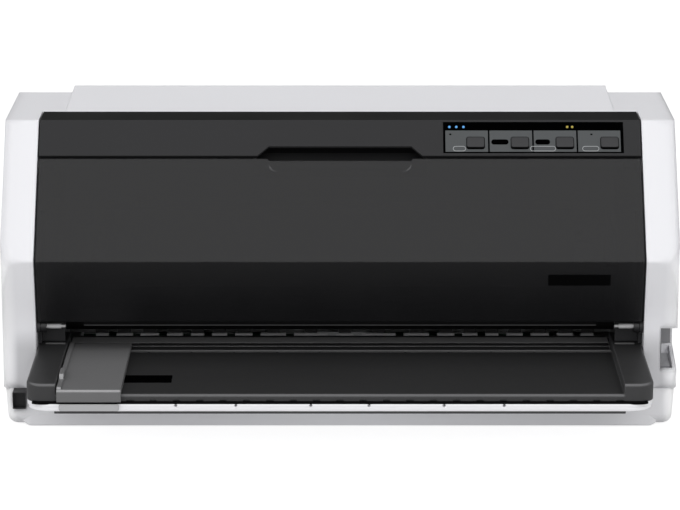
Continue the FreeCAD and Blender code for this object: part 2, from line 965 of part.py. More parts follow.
def top_bar():
    line = [(bar_back_y - slack, top_z), (brow_y, top_z), slope_point(bar_s1, 0),
            slope_point(bar_s1, bar_lip)]
    strip = prism("x", band(line, bar_t), -bar_half, bar_half)
    end = prism("x", line, bar_half - bar_t, bar_half)
    bar = fuse([strip, end, mirrored(end)])
    notch = prism("z", [(-recess_half, bar_s1 + slack), (-recess_top_half, recess_s0),
                        (recess_top_half, recess_s0), (recess_half, bar_s1 + slack)],
                  -over, bar_t + slack)
    bar = bar.cut(on_slope(notch))
    room = box(-pocket_half - pocket_t - slack, pocket_half + pocket_t + slack,
               pocket_s0 - pocket_t - slack, bar_s1 + over, bar_t, bar_lip + over)
    bar = bar.cut(on_slope(room))
    seat = box(panel_x0 - slack, panel_x1 + slack, panel_s0 - slack / 2, panel_s1 + slack,
               -over, panel_seat)
    bar = bar.cut(on_slope(seat))
    pillars = []
    for x in pillar_xs:
        for s in (board_s0 + pillar_in, board_s1 - pillar_in):
            pillars.append(on_slope(rod("z", x, s, bar_t - slack, board_depth, pillar_r)))
    bar = fuse([bar] + pillars)
    for hole in panel_holes():
        bar = bar.cut(hole)
    return bar


def panel_holes():
    """Holes for the buttons and the lamps, through the bar and its overlay."""
    holes = []
    for x in button_xs:
        w = button_w / 2 + slack
        h = button_h / 2 + slack
        holes.append(on_slope(box(x - w, x + w, button_s - h, button_s + h, -over, over)))
    for x in blue_xs + amber_xs:
        holes.append(on_slope(rod("z", x, lamp_s, -over, over, lamp_r + shaft_slack)))
    return holes


def tile_span(i):
    return tile_x0 + i * tile_pitch, tile_x0 + i * tile_pitch + tile_w


def panel_overlay():
    plate = on_slope(box(panel_x0, panel_x1, panel_s0, panel_s1, -panel_proud, panel_seat))
    for hole in panel_holes():
        plate = plate.cut(hole)
    for i in range(len(button_xs)):
        x0, x1 = tile_span(i)
        plate = plate.cut(on_slope(box(x0 - slack / 2, x1 + slack / 2, tile_s0 - slack / 2,
                                       tile_s1 + slack / 2, -over, tile_t - panel_proud)))
    return plate


def panel_tiles():
    tiles = []
    for i in range(len(button_xs)):
        x0, x1 = tile_span(i)
        tile = on_slope(box(x0, x1, tile_s0, tile_s1, -panel_proud - slack / 2,
                            tile_t - panel_proud))
        for hole in panel_holes():
            tile = tile.cut(hole)
        tiles.append(tile)
    return Part.Compound(tiles)


def lamps(xs):
    group = []
    for x in xs:
        group.append(on_slope(rod("z", x, lamp_s, -panel_proud - slack, lamp_len, lamp_r)))
    return Part.Compound(group)


def button(i):
    x = button_xs[i]
    w = button_w / 2
    h = button_h / 2
    back = button_len - button_proud
    r = button_corner_r
    cap = prism("z", rect(x - w, x + w, button_s - h, button_s + h, r, r), -button_proud, back)
    cap = cap.makeChamfer(slack, [e for e in cap.Edges
                                  if abs(e.BoundBox.ZMax + button_proud) < shaft_slack])
    flange = box(x - w - button_flange, x + w + button_flange, button_s - h - button_flange,
                 button_s + h + button_flange, back - button_flange_t, back)
    return on_slope(fuse([cap, flange]))


def control_board():
    plate = box(board_x0, board_x1, board_s0, board_s1, board_depth, board_depth + board_t)
    keys = []
    rest = button_len - button_proud + button_travel + key_gap
    for x in button_xs:
        keys.append(box(x - key_w / 2, x + key_w / 2, button_s - key_w / 2,
                        button_s + key_w / 2, rest, board_depth))
    return on_slope(fuse([plate] + keys))


def grip_pocket():
    """Finger pocket behind the notch in the bar."""
    t = pocket_t
    outer = box(-pocket_half - t, pocket_half + t, pocket_s0 - t, pocket_s1 + t,
                bar_t, pocket_depth + t)
    outer = outer.cut(box(-pocket_half, pocket_half, pocket_s0, pocket_s1, 0, pocket_depth))
    outer = outer.cut(box(-pocket_half - over, pocket_half + over, cover_s0 - slack,
                          pocket_s1 + over, 0, bar_t + slack))
    return on_slope(outer)


def cover_window():
    pane = prism("x", band(cover_line(), cover_t), -cover_half, cover_half)
    drop = [(-cover_notch_half - cover_notch_drop, cover_s0 - over),
            (-cover_notch_half - cover_notch_drop, cover_s0),
            (-cover_notch_half, cover_s0 + cover_notch_drop),
            (cover_notch_half, cover_s0 + cover_notch_drop),
            (cover_notch_half + cover_notch_drop, cover_s0),
            (cover_notch_half + cover_notch_drop, cover_s0 - over)]
    return pane.cut(on_slope(prism("z", drop, -over, over)))


def cover_arms():
    back = parallel(cover_line(), cover_t)
    line = [(behind_slope(arm_top_z, cover_t), arm_top_z)] + back[1:]
    arm = prism("x", band(line, arm_depth), arm_x0, arm_x1)
    neck = box(arm_x0, arm_x1, axis_y - boss_r / 3, axis_y + boss_r, axis_z,
               cover_low_z + boss_r)
    arm = fuse([arm, neck, rod("x", axis_y, axis_z, arm_x0, arm_x1 + boss_out, boss_r)])
    arm = arm.cut(rod("x", axis_y, axis_z, 0, half_w, pin_r + shaft_slack))
    return both(arm)


def cover_label():
    """Bare dark plate on the cover, below its crease."""
    run = math.hypot(crease_y - cover_low_y, crease_z - cover_low_z)
    s1 = (crease_z - label_z0) * run / (crease_z - cover_low_z)
    s0 = (crease_z - label_z1) * run / (crease_z - cover_low_z)
    plate = box(label_x0, label_x1, s0, s1, -label_t, 0)
    angle = math.degrees(math.atan2(cover_low_z - crease_z, cover_low_y - crease_y))
    plate.rotate(V(0, 0, 0), V(1, 0, 0), angle)
    plate.translate(V(0, crease_y, crease_z))
    return plate


def hinge_pins():
    """Pins of the front cover and of the rear cover."""
    end = opening_half + wall - slack
    pin = fuse([rod("x", axis_y, axis_z, pin_x0, end, pin_r),
                rod("x", axis_y, axis_z, pin_nose_x0, pin_x0, pin_nose_r)])
    rear = on_rear(rod("x", rear_axis_t, -rear_axis_depth, rear_pin_x0, rear_pin_x1,
                       rear_pin_r))
    return Part.Compound([pin, mirrored(pin), rear, mirrored(rear)])


def inner_cheeks():
    x1 = opening_half - cheek_gap
    x0 = x1 - cheek_t
    line = parallel(cover_line(), cheek_setback)
    top_y = behind_slope(cheek_top_z, cheek_setback)
    plate = prism("x", [(top_y, cheek_top_z), line[1], line[2], (cheek_front_y, cover_low_z),
                        (cheek_front_y, cheek_low_z), (inner_wall_back_y, cheek_low_z),
                        (inner_wall_back_y, cheek_top_z)], x0, x1)
    inner = parallel(cover_line(), band_setback)
    upper = (behind_slope(cheek_top_z, band_setback), cheek_top_z)
    lower = (inner[2][0], band_low_z)
    strip = prism("x", band([upper, inner[1], inner[2], lower], band_t), band_in_x, x1)
    depth_in = band_setback - cover_t - slack
    pad_line = [(behind_slope(stop_z1, cover_t + slack), stop_z1),
                (behind_slope(stop_z0, cover_t + slack), stop_z0)]
    pad = prism("x", band(pad_line, depth_in + band_t / 2), stop_x0, stop_x1)
    eye = fuse([rod("x", axis_y, axis_z, x0, x1, boss_r),
                box(x0, x1, axis_y, cheek_front_y + wall, axis_z - boss_r, axis_z)])
    cheek = fuse([plate, strip, pad, eye])
    return both(cheek.cut(rod("x", axis_y, axis_z, 0, half_w, pin_r + shaft_slack)))


def front_tray():
    plan = rect(-tray_half, tray_half, tray_front_y, tray_block_back_y, tray_corner_r, 0)
    tray = prism("z", plan, tray_low_z, tray_top_z)
    well = box(-tray_block_in, tray_block_in, tray_front_y - over, tray_block_back_y + over,
               tray_floor_z, tray_top_z + over)
    behind = box(-tray_block_in, tray_block_in, tray_back_y, tray_block_back_y + over,
                 0, tray_top_z + over)
    tray = tray.cut(well).cut(behind)
    t = tray_wall
    under = rect(t - tray_half, tray_half - t, tray_front_y + t, tray_back_y - t,
                 tray_corner_r - t, slack)
    hollow = prism("z", under, tray_low_z - over, tray_floor_z - t)
    tray = tray.cut(hollow)
    block = rect(tray_block_in + t, tray_half - t, tray_front_y + tray_corner_r,
                 tray_block_back_y - t, slack, slack)
    room = prism("z", block, tray_low_z - over, tray_top_z - t)
    tray = tray.cut(room).cut(mirrored(room))
    edges = [e for e in tray.Edges
             if abs(e.BoundBox.YMin - tray_front_y) < shaft_slack
             and abs(e.BoundBox.YMax - tray_front_y) < shaft_slack
             and abs(e.BoundBox.ZMin - tray_floor_z) < shaft_slack
             and e.BoundBox.XLength > tray_half]
    edges += [e for e in tray.Edges
              if e.BoundBox.ZMin > tray_top_z - shaft_slack
              and e.BoundBox.YMax < tray_block_back_y + shaft_slack
              and max(e.BoundBox.XMax, -e.BoundBox.XMin) > tray_block_in + wall
              and e.BoundBox.YMin < tray_block_back_y - wall]
    tray = tray.makeFillet(tray_edge_r, edges)
    steps = int(notch_half_span // notch_pitch)
    for i in range(-steps, steps + 1):
        x = i * notch_pitch
        tray = tray.cut(box(x - notch_w / 2, x + notch_w / 2, tray_front_y - over,
                            tray_front_y + notch_depth, tray_low_z - over,
                            tray_low_z + notch_h))
    return tray


def tray_shell():
    plan = rect(-shell_half, shell_half, shell_front_y, shell_back_y, shell_corner_r, slack)
    shell = prism("z", plan, shell_low_z, tray_low_z)
    edges = [e for e in shell.Edges
             if e.BoundBox.ZLength < shaft_slack and e.BoundBox.YMin < shell_back_y - wall]
    shell = shell.makeFillet(shell_edge_r, edges)
    rim = shell_rim
    inner = rect(rim - shell_half, shell_half - rim, shell_front_y + rim, shell_back_y - rim,
                 shell_corner_r - rim, slack)
    shell = shell.cut(prism("z", inner, shell_low_z + shell_t, tray_low_z + over))
    for x in dot_xs:
        hole = rod("y", x, dot_z, shell_front_y - over, shell_front_y + dot_depth, dot_r)
        shell = shell.cut(hole).cut(mirrored(hole))
    return shell


def edge_guide():
    side = [(guide_back_y, guide_floor_z), (guide_back_y, guide_top_z),
            (guide_front_y, guide_top_z, guide_edge_r), (guide_front_y, guide_skirt_low_z),
            (guide_front_y + guide_skirt_t - slack, guide_skirt_low_z),
            (guide_front_y + guide_skirt_t - slack, guide_floor_z)]
    body = prism("x", side, guide_x0, guide_x1)
    hollow = box(guide_x0 + guide_skin, guide_x1 - guide_skin,
                 guide_front_y + 2 * guide_skirt_t, guide_back_y - guide_skin,
                 guide_floor_z - over, guide_top_z - guide_skin)
    body = body.cut(hollow)
    fence = [(guide_back_y, guide_floor_z), (guide_front_y + guide_skirt_t, guide_floor_z),
             (guide_front_y + guide_skirt_t, guide_fence_z, guide_edge_r),
             (guide_tab_y0, guide_fence_z), (guide_tab_y0 + guide_tab_slope, guide_tab_z),
             (guide_tab_y1 - guide_tab_slope, guide_tab_z), (guide_tab_y1, guide_fence_z),
             (guide_back_y, guide_fence_z, guide_edge_r)]
    fence = prism("x", fence, guide_x0, guide_x0 + guide_fence_t)
    return fuse([body, fence])


def front_lower_guide():
    z1 = tray_floor_z
    plate = [(lower_guide_y0, z1 - guide_t), (lower_guide_y0, z1), (lower_groove_y0, z1),
             (lower_groove_y0, z1 - lower_groove_depth), (lower_rib_y0, z1 - lower_groove_depth),
             (lower_rib_y0, z1), (lower_rib_y1, z1), (lower_rib_y1, z1 - lower_groove_depth),
             (lower_groove_y1, z1 - lower_groove_depth), (lower_groove_y1, z1),
             (lower_guide_y1, z1), (lower_guide_y1, z1 - guide_t)]
    return prism("x", plate[::-1], -path_half, path_half)


def roller_spans():
    """Ends (x0, x1) of the rubber rollers, even about roller_mid_x."""
    marks = [-x for x in roller_gap_xs[::-1]] + roller_gap_xs
    edges = [-roller_end] + marks + [roller_end]
    spans = []
    for i in range(len(edges) - 1):
        x0 = edges[i] + (roller_gap / 2 if i > 0 else 0)
        x1 = edges[i + 1] - (roller_gap / 2 if i < len(edges) - 2 else 0)
        spans.append((x0 + roller_mid_x, x1 + roller_mid_x))
    return spans


def feed_roller(y):
    end = feed_belt_x0 + feed_belt_w
    parts = [rod("x", y, feed_axis_z, -frame_x - 2 * frame_t, end, feed_core_r)]
    for x0, x1 in roller_spans():
        parts.append(rod("x", y, feed_axis_z, x0, x1, feed_r))
    parts.append(rod("x", y, feed_axis_z, feed_belt_x0, end, feed_pulley_r))
    return fuse(parts)


def pinch_z():
    return feed_axis_z + feed_r + pinch_gap + pinch_r


def pinch_rollers(y):
    parts = [rod("x", y, pinch_z(), -frame_x - frame_t, frame_x + frame_t, pinch_core_r)]
    for x0, x1 in roller_spans():
        mid = (x0 + x1) / 2
        parts.append(rod("x", y, pinch_z(), mid - pinch_width / 2, mid + pinch_width / 2,
                         pinch_r))
    return fuse(parts)


def front_upper_guide():
    z0 = upper_guide_z
    side = [(upper_guide_y0, z0 + upper_guide_lead), (upper_guide_y0 + upper_guide_lead, z0),
            (upper_guide_y1, z0), (upper_guide_y1, z0 + upper_guide_h + upper_guide_lead),
            (upper_guide_y0, z0 + upper_guide_h + upper_guide_lead)]
    bar = prism("x", side, -frame_x + slack, frame_x - slack)
    room = pinch_r + 2 * slack
    bar = bar.cut(box(-frame_x, frame_x, front_feed_y - room, front_feed_y + room,
                      z0 - over, pinch_z() + room))
    return bar


def rear_lower_guide():
    plate = box(-path_half, path_half, rear_guide_y0, rear_guide_y1,
                tray_floor_z - guide_t, tray_floor_z)
    lip = box(-path_half, path_half, rear_guide_y1 - guide_t / 2, rear_guide_y1,
              tray_floor_z - 2 * guide_t, tray_floor_z)
    tabs = []
    for x0, x1 in ((-frame_x + slack, -path_half), (path_half, frame_x - slack)):
        tabs.append(box(x0, x1, rear_guide_y0, rear_guide_y1, tray_floor_z - guide_t,
                        tray_floor_z))
    return fuse([plate, lip] + tabs)


def platen_bar():
    return box(-frame_x + slack, frame_x - slack, -platen_half_d, platen_half_d,
               platen_top_z - platen_h, platen_top_z)


def side_frame():
    """Right side frame; the left one is its mirror image without the motor hole."""
    z0 = chassis_z + chassis_t
    outline = [(frame_y0, z0), (frame_y1, z0), (frame_y1, frame_back_z),
               (frame_slope_y + wall, frame_back_z), (frame_slope_y + wall, frame_top_z),
               (frame_y0, frame_top_z)]
    plate = prism("x", outline, frame_x, frame_x + frame_t)
    foot = box(frame_x, frame_x + frame_foot, frame_y0, frame_y1, z0, z0 + frame_t)
    whole = fuse([plate, foot])
    bores = [(front_feed_y, feed_axis_z, feed_core_r), (rear_feed_y, feed_axis_z, feed_core_r),
             (front_feed_y, pinch_z(), pinch_core_r), (rear_feed_y, pinch_z(), pinch_core_r),
             (tractor_shaft_y, tractor_shaft_z, tractor_shaft_r),
             (tractor_rod_y, tractor_shaft_z, tractor_rod_r), (shaft_y, shaft_z, shaft_r)]
    for y, z, r in bores:
        whole = whole.cut(rod("x", y, z, 0, half_w, r + shaft_slack))
    return whole


def right_side_frame():
    return side_frame().cut(rod("x", feed_motor_y, feed_motor_z, 0, half_w,
                                feed_motor_shaft_r + shaft_slack))


def left_side_frame():
    return mirrored(side_frame())


def guide_shaft():
    return rod("x", shaft_y, shaft_z, -frame_x - frame_t, frame_x + frame_t, shaft_r)


def tractor_rod():
    return rod("x", tractor_rod_y, tractor_shaft_z, -frame_x - frame_t, frame_x + frame_t,
               tractor_rod_r)


def rear_beam():
    """Cross beam with the carriage's rail and the two pulley brackets."""
    half = frame_x - slack
    web = box(-half, half, beam_y, beam_y + beam_t, beam_z0, beam_z1)
    rail = box(-half, half, beam_ledge_y0, beam_y, beam_ledge_z, beam_ledge_z + beam_t)
    whole = fuse([web, rail])
    for x in (-pulley_x, pulley_x):
        x0 = x - motor_r
        x1 = x + motor_r
        arm = box(x0, x1, pulley_y - motor_r / 2, beam_y, motor_z1, motor_z1 + bracket_t)
        arm = arm.cut(rod("z", x, pulley_y, 0, height, pulley_bore_r + 2 * shaft_slack))
        whole = whole.fuse(arm)
    idler = rod("z", pulley_x, pulley_y, motor_z1 - wall, motor_shaft_top, pulley_bore_r)
    head = rod("z", pulley_x, pulley_y, motor_z1 - wall, motor_z1, pulley_bore_r * 2)
    return fuse([whole, idler, head])


def carriage_motor():
    body = rod("z", -pulley_x, pulley_y - wall, motor_z0, motor_z1, beam_y - pulley_y
               - slack + wall)
    return body


def motor_pulley():
    wheel = rod("z", -pulley_x, pulley_y, pulley_z0, pulley_z0 + pulley_h, pulley_r)
    axle = rod("z", -pulley_x, pulley_y, motor_z1 + slack, motor_shaft_top, pulley_bore_r)
    return fuse([wheel, axle])


def idler_pulley():
    wheel = rod("z", pulley_x, pulley_y, pulley_z0, pulley_z0 + pulley_h, pulley_r)
    return wheel.cut(rod("z", pulley_x, pulley_y, 0, height, pulley_bore_r + shaft_slack))


def carriage_belt():
    circles = [(-pulley_x, pulley_y, pulley_r), (pulley_x, pulley_y, pulley_r)]
    z0 = pulley_z0 + (pulley_h - belt_h) / 2
    return belt("z", circles, z0, z0 + belt_h)


def carriage():
    body = box(-carriage_half, carriage_half, carriage_y0, carriage_y1, carriage_z0,
               carriage_z1)
    body = body.cut(box(-head_half - slack, head_half + slack, carriage_y0 - over,
                        head_y1 + slack, 0, height))
    body = body.cut(rod("x", shaft_y, shaft_z, -half_w, half_w, shaft_r + shaft_slack))
    belt_y = pulley_y - pulley_r - belt_gap
    z0 = pulley_z0 + (pulley_h - belt_h) / 2
    clamp = box(-carriage_half / 2, carriage_half / 2, shaft_y, belt_y + slack + wall,
                carriage_z1 - wall, z0 + belt_h + wall)
    clamp = clamp.cut(box(-carriage_half, carriage_half, belt_y - belt_t - slack,
                          belt_y + slack, z0 - slack, z0 + belt_h + slack))
    clamp = clamp.cut(box(-carriage_half, carriage_half, belt_y + slack, belt_y + over * 2,
                          0, z0 + belt_h - belt_h / 2))
    return fuse([body, clamp])


def print_head():
    body = box(-head_half, head_half, head_y0, head_y1, head_z0, head_z1)
    nose = box(-nose_half, nose_half, -nose_y, nose_y, nose_z, head_z0)
    fins = []
    for i in range(fin_count):
        x = (i - (fin_count - 1) / 2) * fin_pitch
        fins.append(box(x - fin_t / 2, x + fin_t / 2, head_y0, head_y1, head_z1,
                        head_z1 + fin_h))
    return fuse([body, nose] + fins)


def ribbon_cartridge():
    case = prism("y", [(-ribbon_half, ribbon_z0, ribbon_round),
                       (ribbon_half, ribbon_z0, ribbon_round),
                       (ribbon_half, ribbon_z1, ribbon_round),
                       (-ribbon_half, ribbon_z1, ribbon_round)], ribbon_y0, ribbon_y1)
    parts = [case]
    side = [(ribbon_y0 + ribbon_arm_drop, ribbon_z0), (ribbon_arm_y1, ribbon_arm_low_z),
            (ribbon_arm_y1, ribbon_arm_low_z + ribbon_arm_drop),
            (ribbon_y1, ribbon_arm_z1), (ribbon_y0 + ribbon_arm_drop, ribbon_arm_z1)]
    for sign in (-1, 1):
        ends = sorted((sign * ribbon_arm_x0, sign * ribbon_arm_x1))
        parts.append(prism("x", side, ends[0], ends[1]))
        ends = sorted((sign * (ribbon_half - ribbon_round * 2), sign * ribbon_arm_x1))
        parts.append(box(ends[0], ends[1], ribbon_y0 + ribbon_arm_drop, ribbon_y1,
                         ribbon_z0, ribbon_arm_z1))
        ends = sorted((sign * ribbon_arm_x0, sign * ribbon_tab_x1))
        parts.append(box(ends[0], ends[1], ribbon_y1 - ribbon_round, ribbon_y1,
                         ribbon_tab_z0, ribbon_tab_z1))
    whole = fuse(parts)
    return whole.cut(rod("z", knob_x, knob_y, ribbon_z1 - knob_stem - slack, height,
                         knob_stem_r + shaft_slack))


def ribbon_knob():
    knob = rod("z", knob_x, knob_y, ribbon_z1 + slack, ribbon_z1 + knob_h, knob_r)
    for i in range(knob_flutes):
        turn = 2 * math.pi * i / knob_flutes
        knob = knob.cut(rod("z", knob_x + knob_r * math.cos(turn), knob_y
                            + knob_r * math.sin(turn), 0, height, knob_flute_r))
    return fuse([knob, rod("z", knob_x, knob_y, ribbon_z1 - knob_stem, ribbon_z1 + knob_h,
                           knob_stem_r)])


def feed_motor():
    return rod("x", feed_motor_y, feed_motor_z, frame_x - feed_motor_len, frame_x,
               feed_motor_r)


def feed_pulley():
    end = feed_belt_x0 + feed_belt_w
    shaft = rod("x", feed_motor_y, feed_motor_z, frame_x + slack, end, feed_motor_shaft_r)
    return fuse([shaft, rod("x", feed_motor_y, feed_motor_z, feed_belt_x0, end,
                            motor_pulley_r)])


def feed_belt():
    circles = [(front_feed_y, feed_axis_z, feed_pulley_r),
               (feed_motor_y, feed_motor_z, motor_pulley_r),
               (tractor_shaft_y, tractor_shaft_z, feed_pulley_r)]
    return belt("x", circles, feed_belt_x0, feed_belt_x0 + feed_belt_w)


def tractor_shaft():
    end = feed_belt_x0 + feed_belt_w
    bar = rod("x", tractor_shaft_y, tractor_shaft_z, -frame_x - 2 * frame_t, end,
              tractor_shaft_r)
    return fuse([bar, rod("x", tractor_shaft_y, tractor_shaft_z, feed_belt_x0, end,
                          feed_pulley_r)])


def tractor():
    """Right push tractor; the left one is its mirror image."""
    x1 = tractor_x1
    x0 = x1 - tractor_w
    body = box(x0, x1, tractor_y0, tractor_y1, tractor_z0, tractor_z1)
    parts = [body]
    mid_y = (tractor_y0 + tractor_y1) / 2
    for i in range(tractor_pins):
        y = mid_y + (i - (tractor_pins - 1) / 2) * tractor_pin_pitch
        parts.append(rod("z", x0 + tractor_w / 2, y, tractor_z1 - slack,
                         tractor_z1 + tractor_pin_h, tractor_pin_r))
    barrel_x = x1 - lid_barrel_r
    axis_h = lid_z0 + lid_barrel_r
    for y0 in (tractor_y0, tractor_y1 - lid_ear_t):
        parts.append(box(x1 - 2 * lid_barrel_r, x1, y0, y0 + lid_ear_t, tractor_z1 - slack,
                         axis_h + lid_barrel_r))
    parts.append(rod("y", barrel_x, axis_h, tractor_y0, tractor_y1, lid_pin_r))
    whole = fuse(parts)
    gap = tractor_slide_slack
    whole = whole.cut(rod("x", tractor_shaft_y, tractor_shaft_z, 0, half_w,
                          tractor_shaft_r + gap))
    return whole.cut(rod("x", tractor_rod_y, tractor_shaft_z, 0, half_w, tractor_rod_r + gap))


def tractor_lid():
    x1 = tractor_x1
    x0 = x1 - tractor_w
    y0 = tractor_y0 + lid_ear_t + slack
    y1 = tractor_y1 - lid_ear_t - slack
    axis_h = lid_z0 + lid_barrel_r
    barrel_x = x1 - lid_barrel_r
    plate = box(x0, barrel_x, y0, y1, lid_z0, lid_z0 + lid_t)
    slot_x = x0 + tractor_w / 2
    slot_w = tractor_pin_r + 2 * slack
    plate = plate.cut(box(slot_x - slot_w, slot_x + slot_w, y0 + lid_margin, y1 - lid_margin,
                          0, height))
    whole = fuse([plate, rod("y", barrel_x, axis_h, y0, y1, lid_barrel_r)])
    return whole.cut(rod("y", barrel_x, axis_h, 0, height, lid_pin_r + shaft_slack))


def rear_lugs():
    lug = box(lid_hole_half, lid_hole_half + rear_lug, rear_axis_t - rear_lug / 2,
              rear_axis_t + rear_lug / 2, -rear_lug_depth, -wall / 2)
    ledge = box(lid_hole_half - seat_lip, lid_hole_half + wall, lid_end - rear_lug * 2,
                lid_end - rear_lug, -wall - rear_plate_t, -wall)
    return on_rear(fuse([lug, ledge]))


def rear_cover():
    """Hinged cover over the tractors; its front edge is a round barrel."""
    plate = box(-lid_half, lid_half, rear_axis_t, lid_end, -rear_plate_t, 0)
    barrel = rod("x", rear_axis_t, -rear_axis_depth, -lid_half, lid_half, rear_barrel_r)
    whole = fuse([plate, barrel])
    scoop = box(-finger_half, finger_half, lid_end - finger_w, lid_end + over, -over, over)
    whole = whole.cut(scoop)
    bore = rod("x", rear_axis_t, -rear_axis_depth, -half_w, -rear_pin_x0 + slack,
               rear_pin_r + shaft_slack)
    whole = whole.cut(bore).cut(mirrored(bore))
    return on_rear(whole)


def ports():
    """Cut-outs in the lower case's back wall: x, width, z and height."""
    rows = [(parallel_x0, parallel_w, port_z0, parallel_h),
            (serial_x0, serial_w, port_z0, serial_h), (usb_x0, usb_w, port_z0, usb_h)]
    rows.append((inlet_x - inlet_w / 2, inlet_w, inlet_z0, inlet_h))
    return rows


def interface_ports():
    group = []
    for x0, w, z0, h in ports()[:-1]:
        shell = box(x0, x0 + w, port_y0, back_y, z0, z0 + h)
        r = port_rim
        shell = shell.cut(box(x0 + r, x0 + w - r, back_y - port_well, back_y + over,
                              z0 + r, z0 + h - r))
        tongue = box(x0 + 2 * r, x0 + w - 2 * r, back_y - port_well, back_y - r,
                     z0 + h / 2 - r / 2, z0 + h / 2 + r / 2)
        group.append(fuse([shell, tongue]))
    return Part.Compound(group)


def power_inlet():
    x0, w, z0, h = ports()[-1]
    body = box(x0, x0 + w, back_y - inlet_len, back_y, z0, z0 + h)
    r = port_rim
    body = body.cut(box(x0 + r, x0 + w - r, back_y - inlet_well, back_y + over, z0 + r,
                        z0 + h - r))
    blades = []
    for i, z in ((-1, z0 + h / 2 - r), (0, z0 + h / 2 + 2 * r), (1, z0 + h / 2 - r)):
        x = inlet_x + i * blade_pitch
        blades.append(box(x - blade_t / 2, x + blade_t / 2, back_y - inlet_well - r,
                          back_y - inlet_well + blade_len, z - blade_w / 2, z + blade_w / 2))
    return fuse([body] + blades)


def circuit_board(x0, x1, back):
    """Board on four standoffs with its parts, too low to reach the paper path."""
    top = board_z + pcb_t
    plate = box(x0, x1, board_y0, back, board_z, top)
    parts = [plate]
    for x in (x0 + part_gap / 2, x1 - part_gap / 2):
        for y in (board_y0 + part_gap / 2, back - part_gap):
            parts.append(rod("z", x, y, chassis_z + chassis_t, board_z, standoff_r))
    x = x0 + part_gap
    tall = True
    while x + part_w < x1 - part_gap:
        h = part_h if tall else part_h / 2
        parts.append(box(x, x + part_w, board_y0 + part_gap, board_y0 + part_gap + part_w,
                         top, top + h))
        parts.append(rod("z", x + part_w / 2, board_y0 + part_gap + 2 * part_w, top, top + h,
                         part_w / 3))
        x += part_w + part_gap
        tall = not tall
    return fuse(parts)


def main_board():
    return circuit_board(main_x0, main_x1, port_y0 + port_seat)


def power_supply():
    return circuit_board(supply_x0, supply_x1, back_y - inlet_len - wall)


def build():
    right_tractor = tractor()
    right_lid = tractor_lid()
    nodes = {
        "upper_case": upper_case(), "lower_case": lower_case(), "rubber_feet": rubber_feet(),
        "chassis": chassis(), "screws": screws(), "top_bar": top_bar(),
        "panel_overlay": panel_overlay(), "panel_tiles": panel_tiles(),
        "ready_lamps": lamps(blue_xs), "paper_lamps": lamps(amber_xs),
        "control_board": control_board(), "grip_pocket": grip_pocket(),
        "cover_window": cover_window(), "cover_arms": cover_arms(),
        "cover_label": cover_label(), "hinge_pins": hinge_pins(),
        "inner_cheeks": inner_cheeks(), "front_tray": front_tray(),
        "tray_shell": tray_shell(), "edge_guide": edge_guide(),
        "front_lower_guide": front_lower_guide(), "front_upper_guide": front_upper_guide(),
        "rear_lower_guide": rear_lower_guide(), "platen_bar": platen_bar(),
        "left_side_frame": left_side_frame(), "right_side_frame": right_side_frame(),
        "guide_shaft": guide_shaft(), "tractor_rod": tractor_rod(), "rear_beam": rear_beam(),
        "carriage_motor": carriage_motor(), "motor_pulley": motor_pulley(),
        "idler_pulley": idler_pulley(), "carriage_belt": carriage_belt(),
        "carriage": carriage(), "print_head": print_head(),
        "ribbon_cartridge": ribbon_cartridge(), "ribbon_knob": ribbon_knob(),
        "feed_motor": feed_motor(), "feed_pulley": feed_pulley(), "feed_belt": feed_belt(),
        "front_feed_roller": feed_roller(front_feed_y),
        "rear_feed_roller": feed_roller(rear_feed_y),
        "front_pinch_rollers": pinch_rollers(front_feed_y),
        "rear_pinch_rollers": pinch_rollers(rear_feed_y),
        "tractor_shaft": tractor_shaft(), "right_tractor": right_tractor,
        "left_tractor": mirrored(right_tractor), "right_tractor_lid": right_lid,
        "left_tractor_lid": mirrored(right_lid), "rear_cover": rear_cover(),
        "main_board": main_board(), "power_supply": power_supply(),
        "interface_ports": interface_ports(), "power_inlet": power_inlet(),
        "power_switch": power_switch(), "power_rocker": power_rocker(),
    }
    names = ["tear_off_button", "line_feed_button", "load_eject_button", "pause_button"]
    for i, name in enumerate(names):
        nodes[name] = button(i)
    return nodes


def main():
    os.makedirs("parts", exist_ok=True)
    for name, shape in build().items():
        box_now = shape.BoundBox
        state = "ok" if shape.isValid() and shape.Volume > 0 else "BAD"
        print(name, state, len(shape.Solids), [round(v, 1) for v in (
            box_now.XMin, box_now.XMax, box_now.YMin, box_now.YMax, box_now.ZMin,
            box_now.ZMax)])
        shape.exportStep("parts/" + name + ".step")


main()
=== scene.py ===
import math

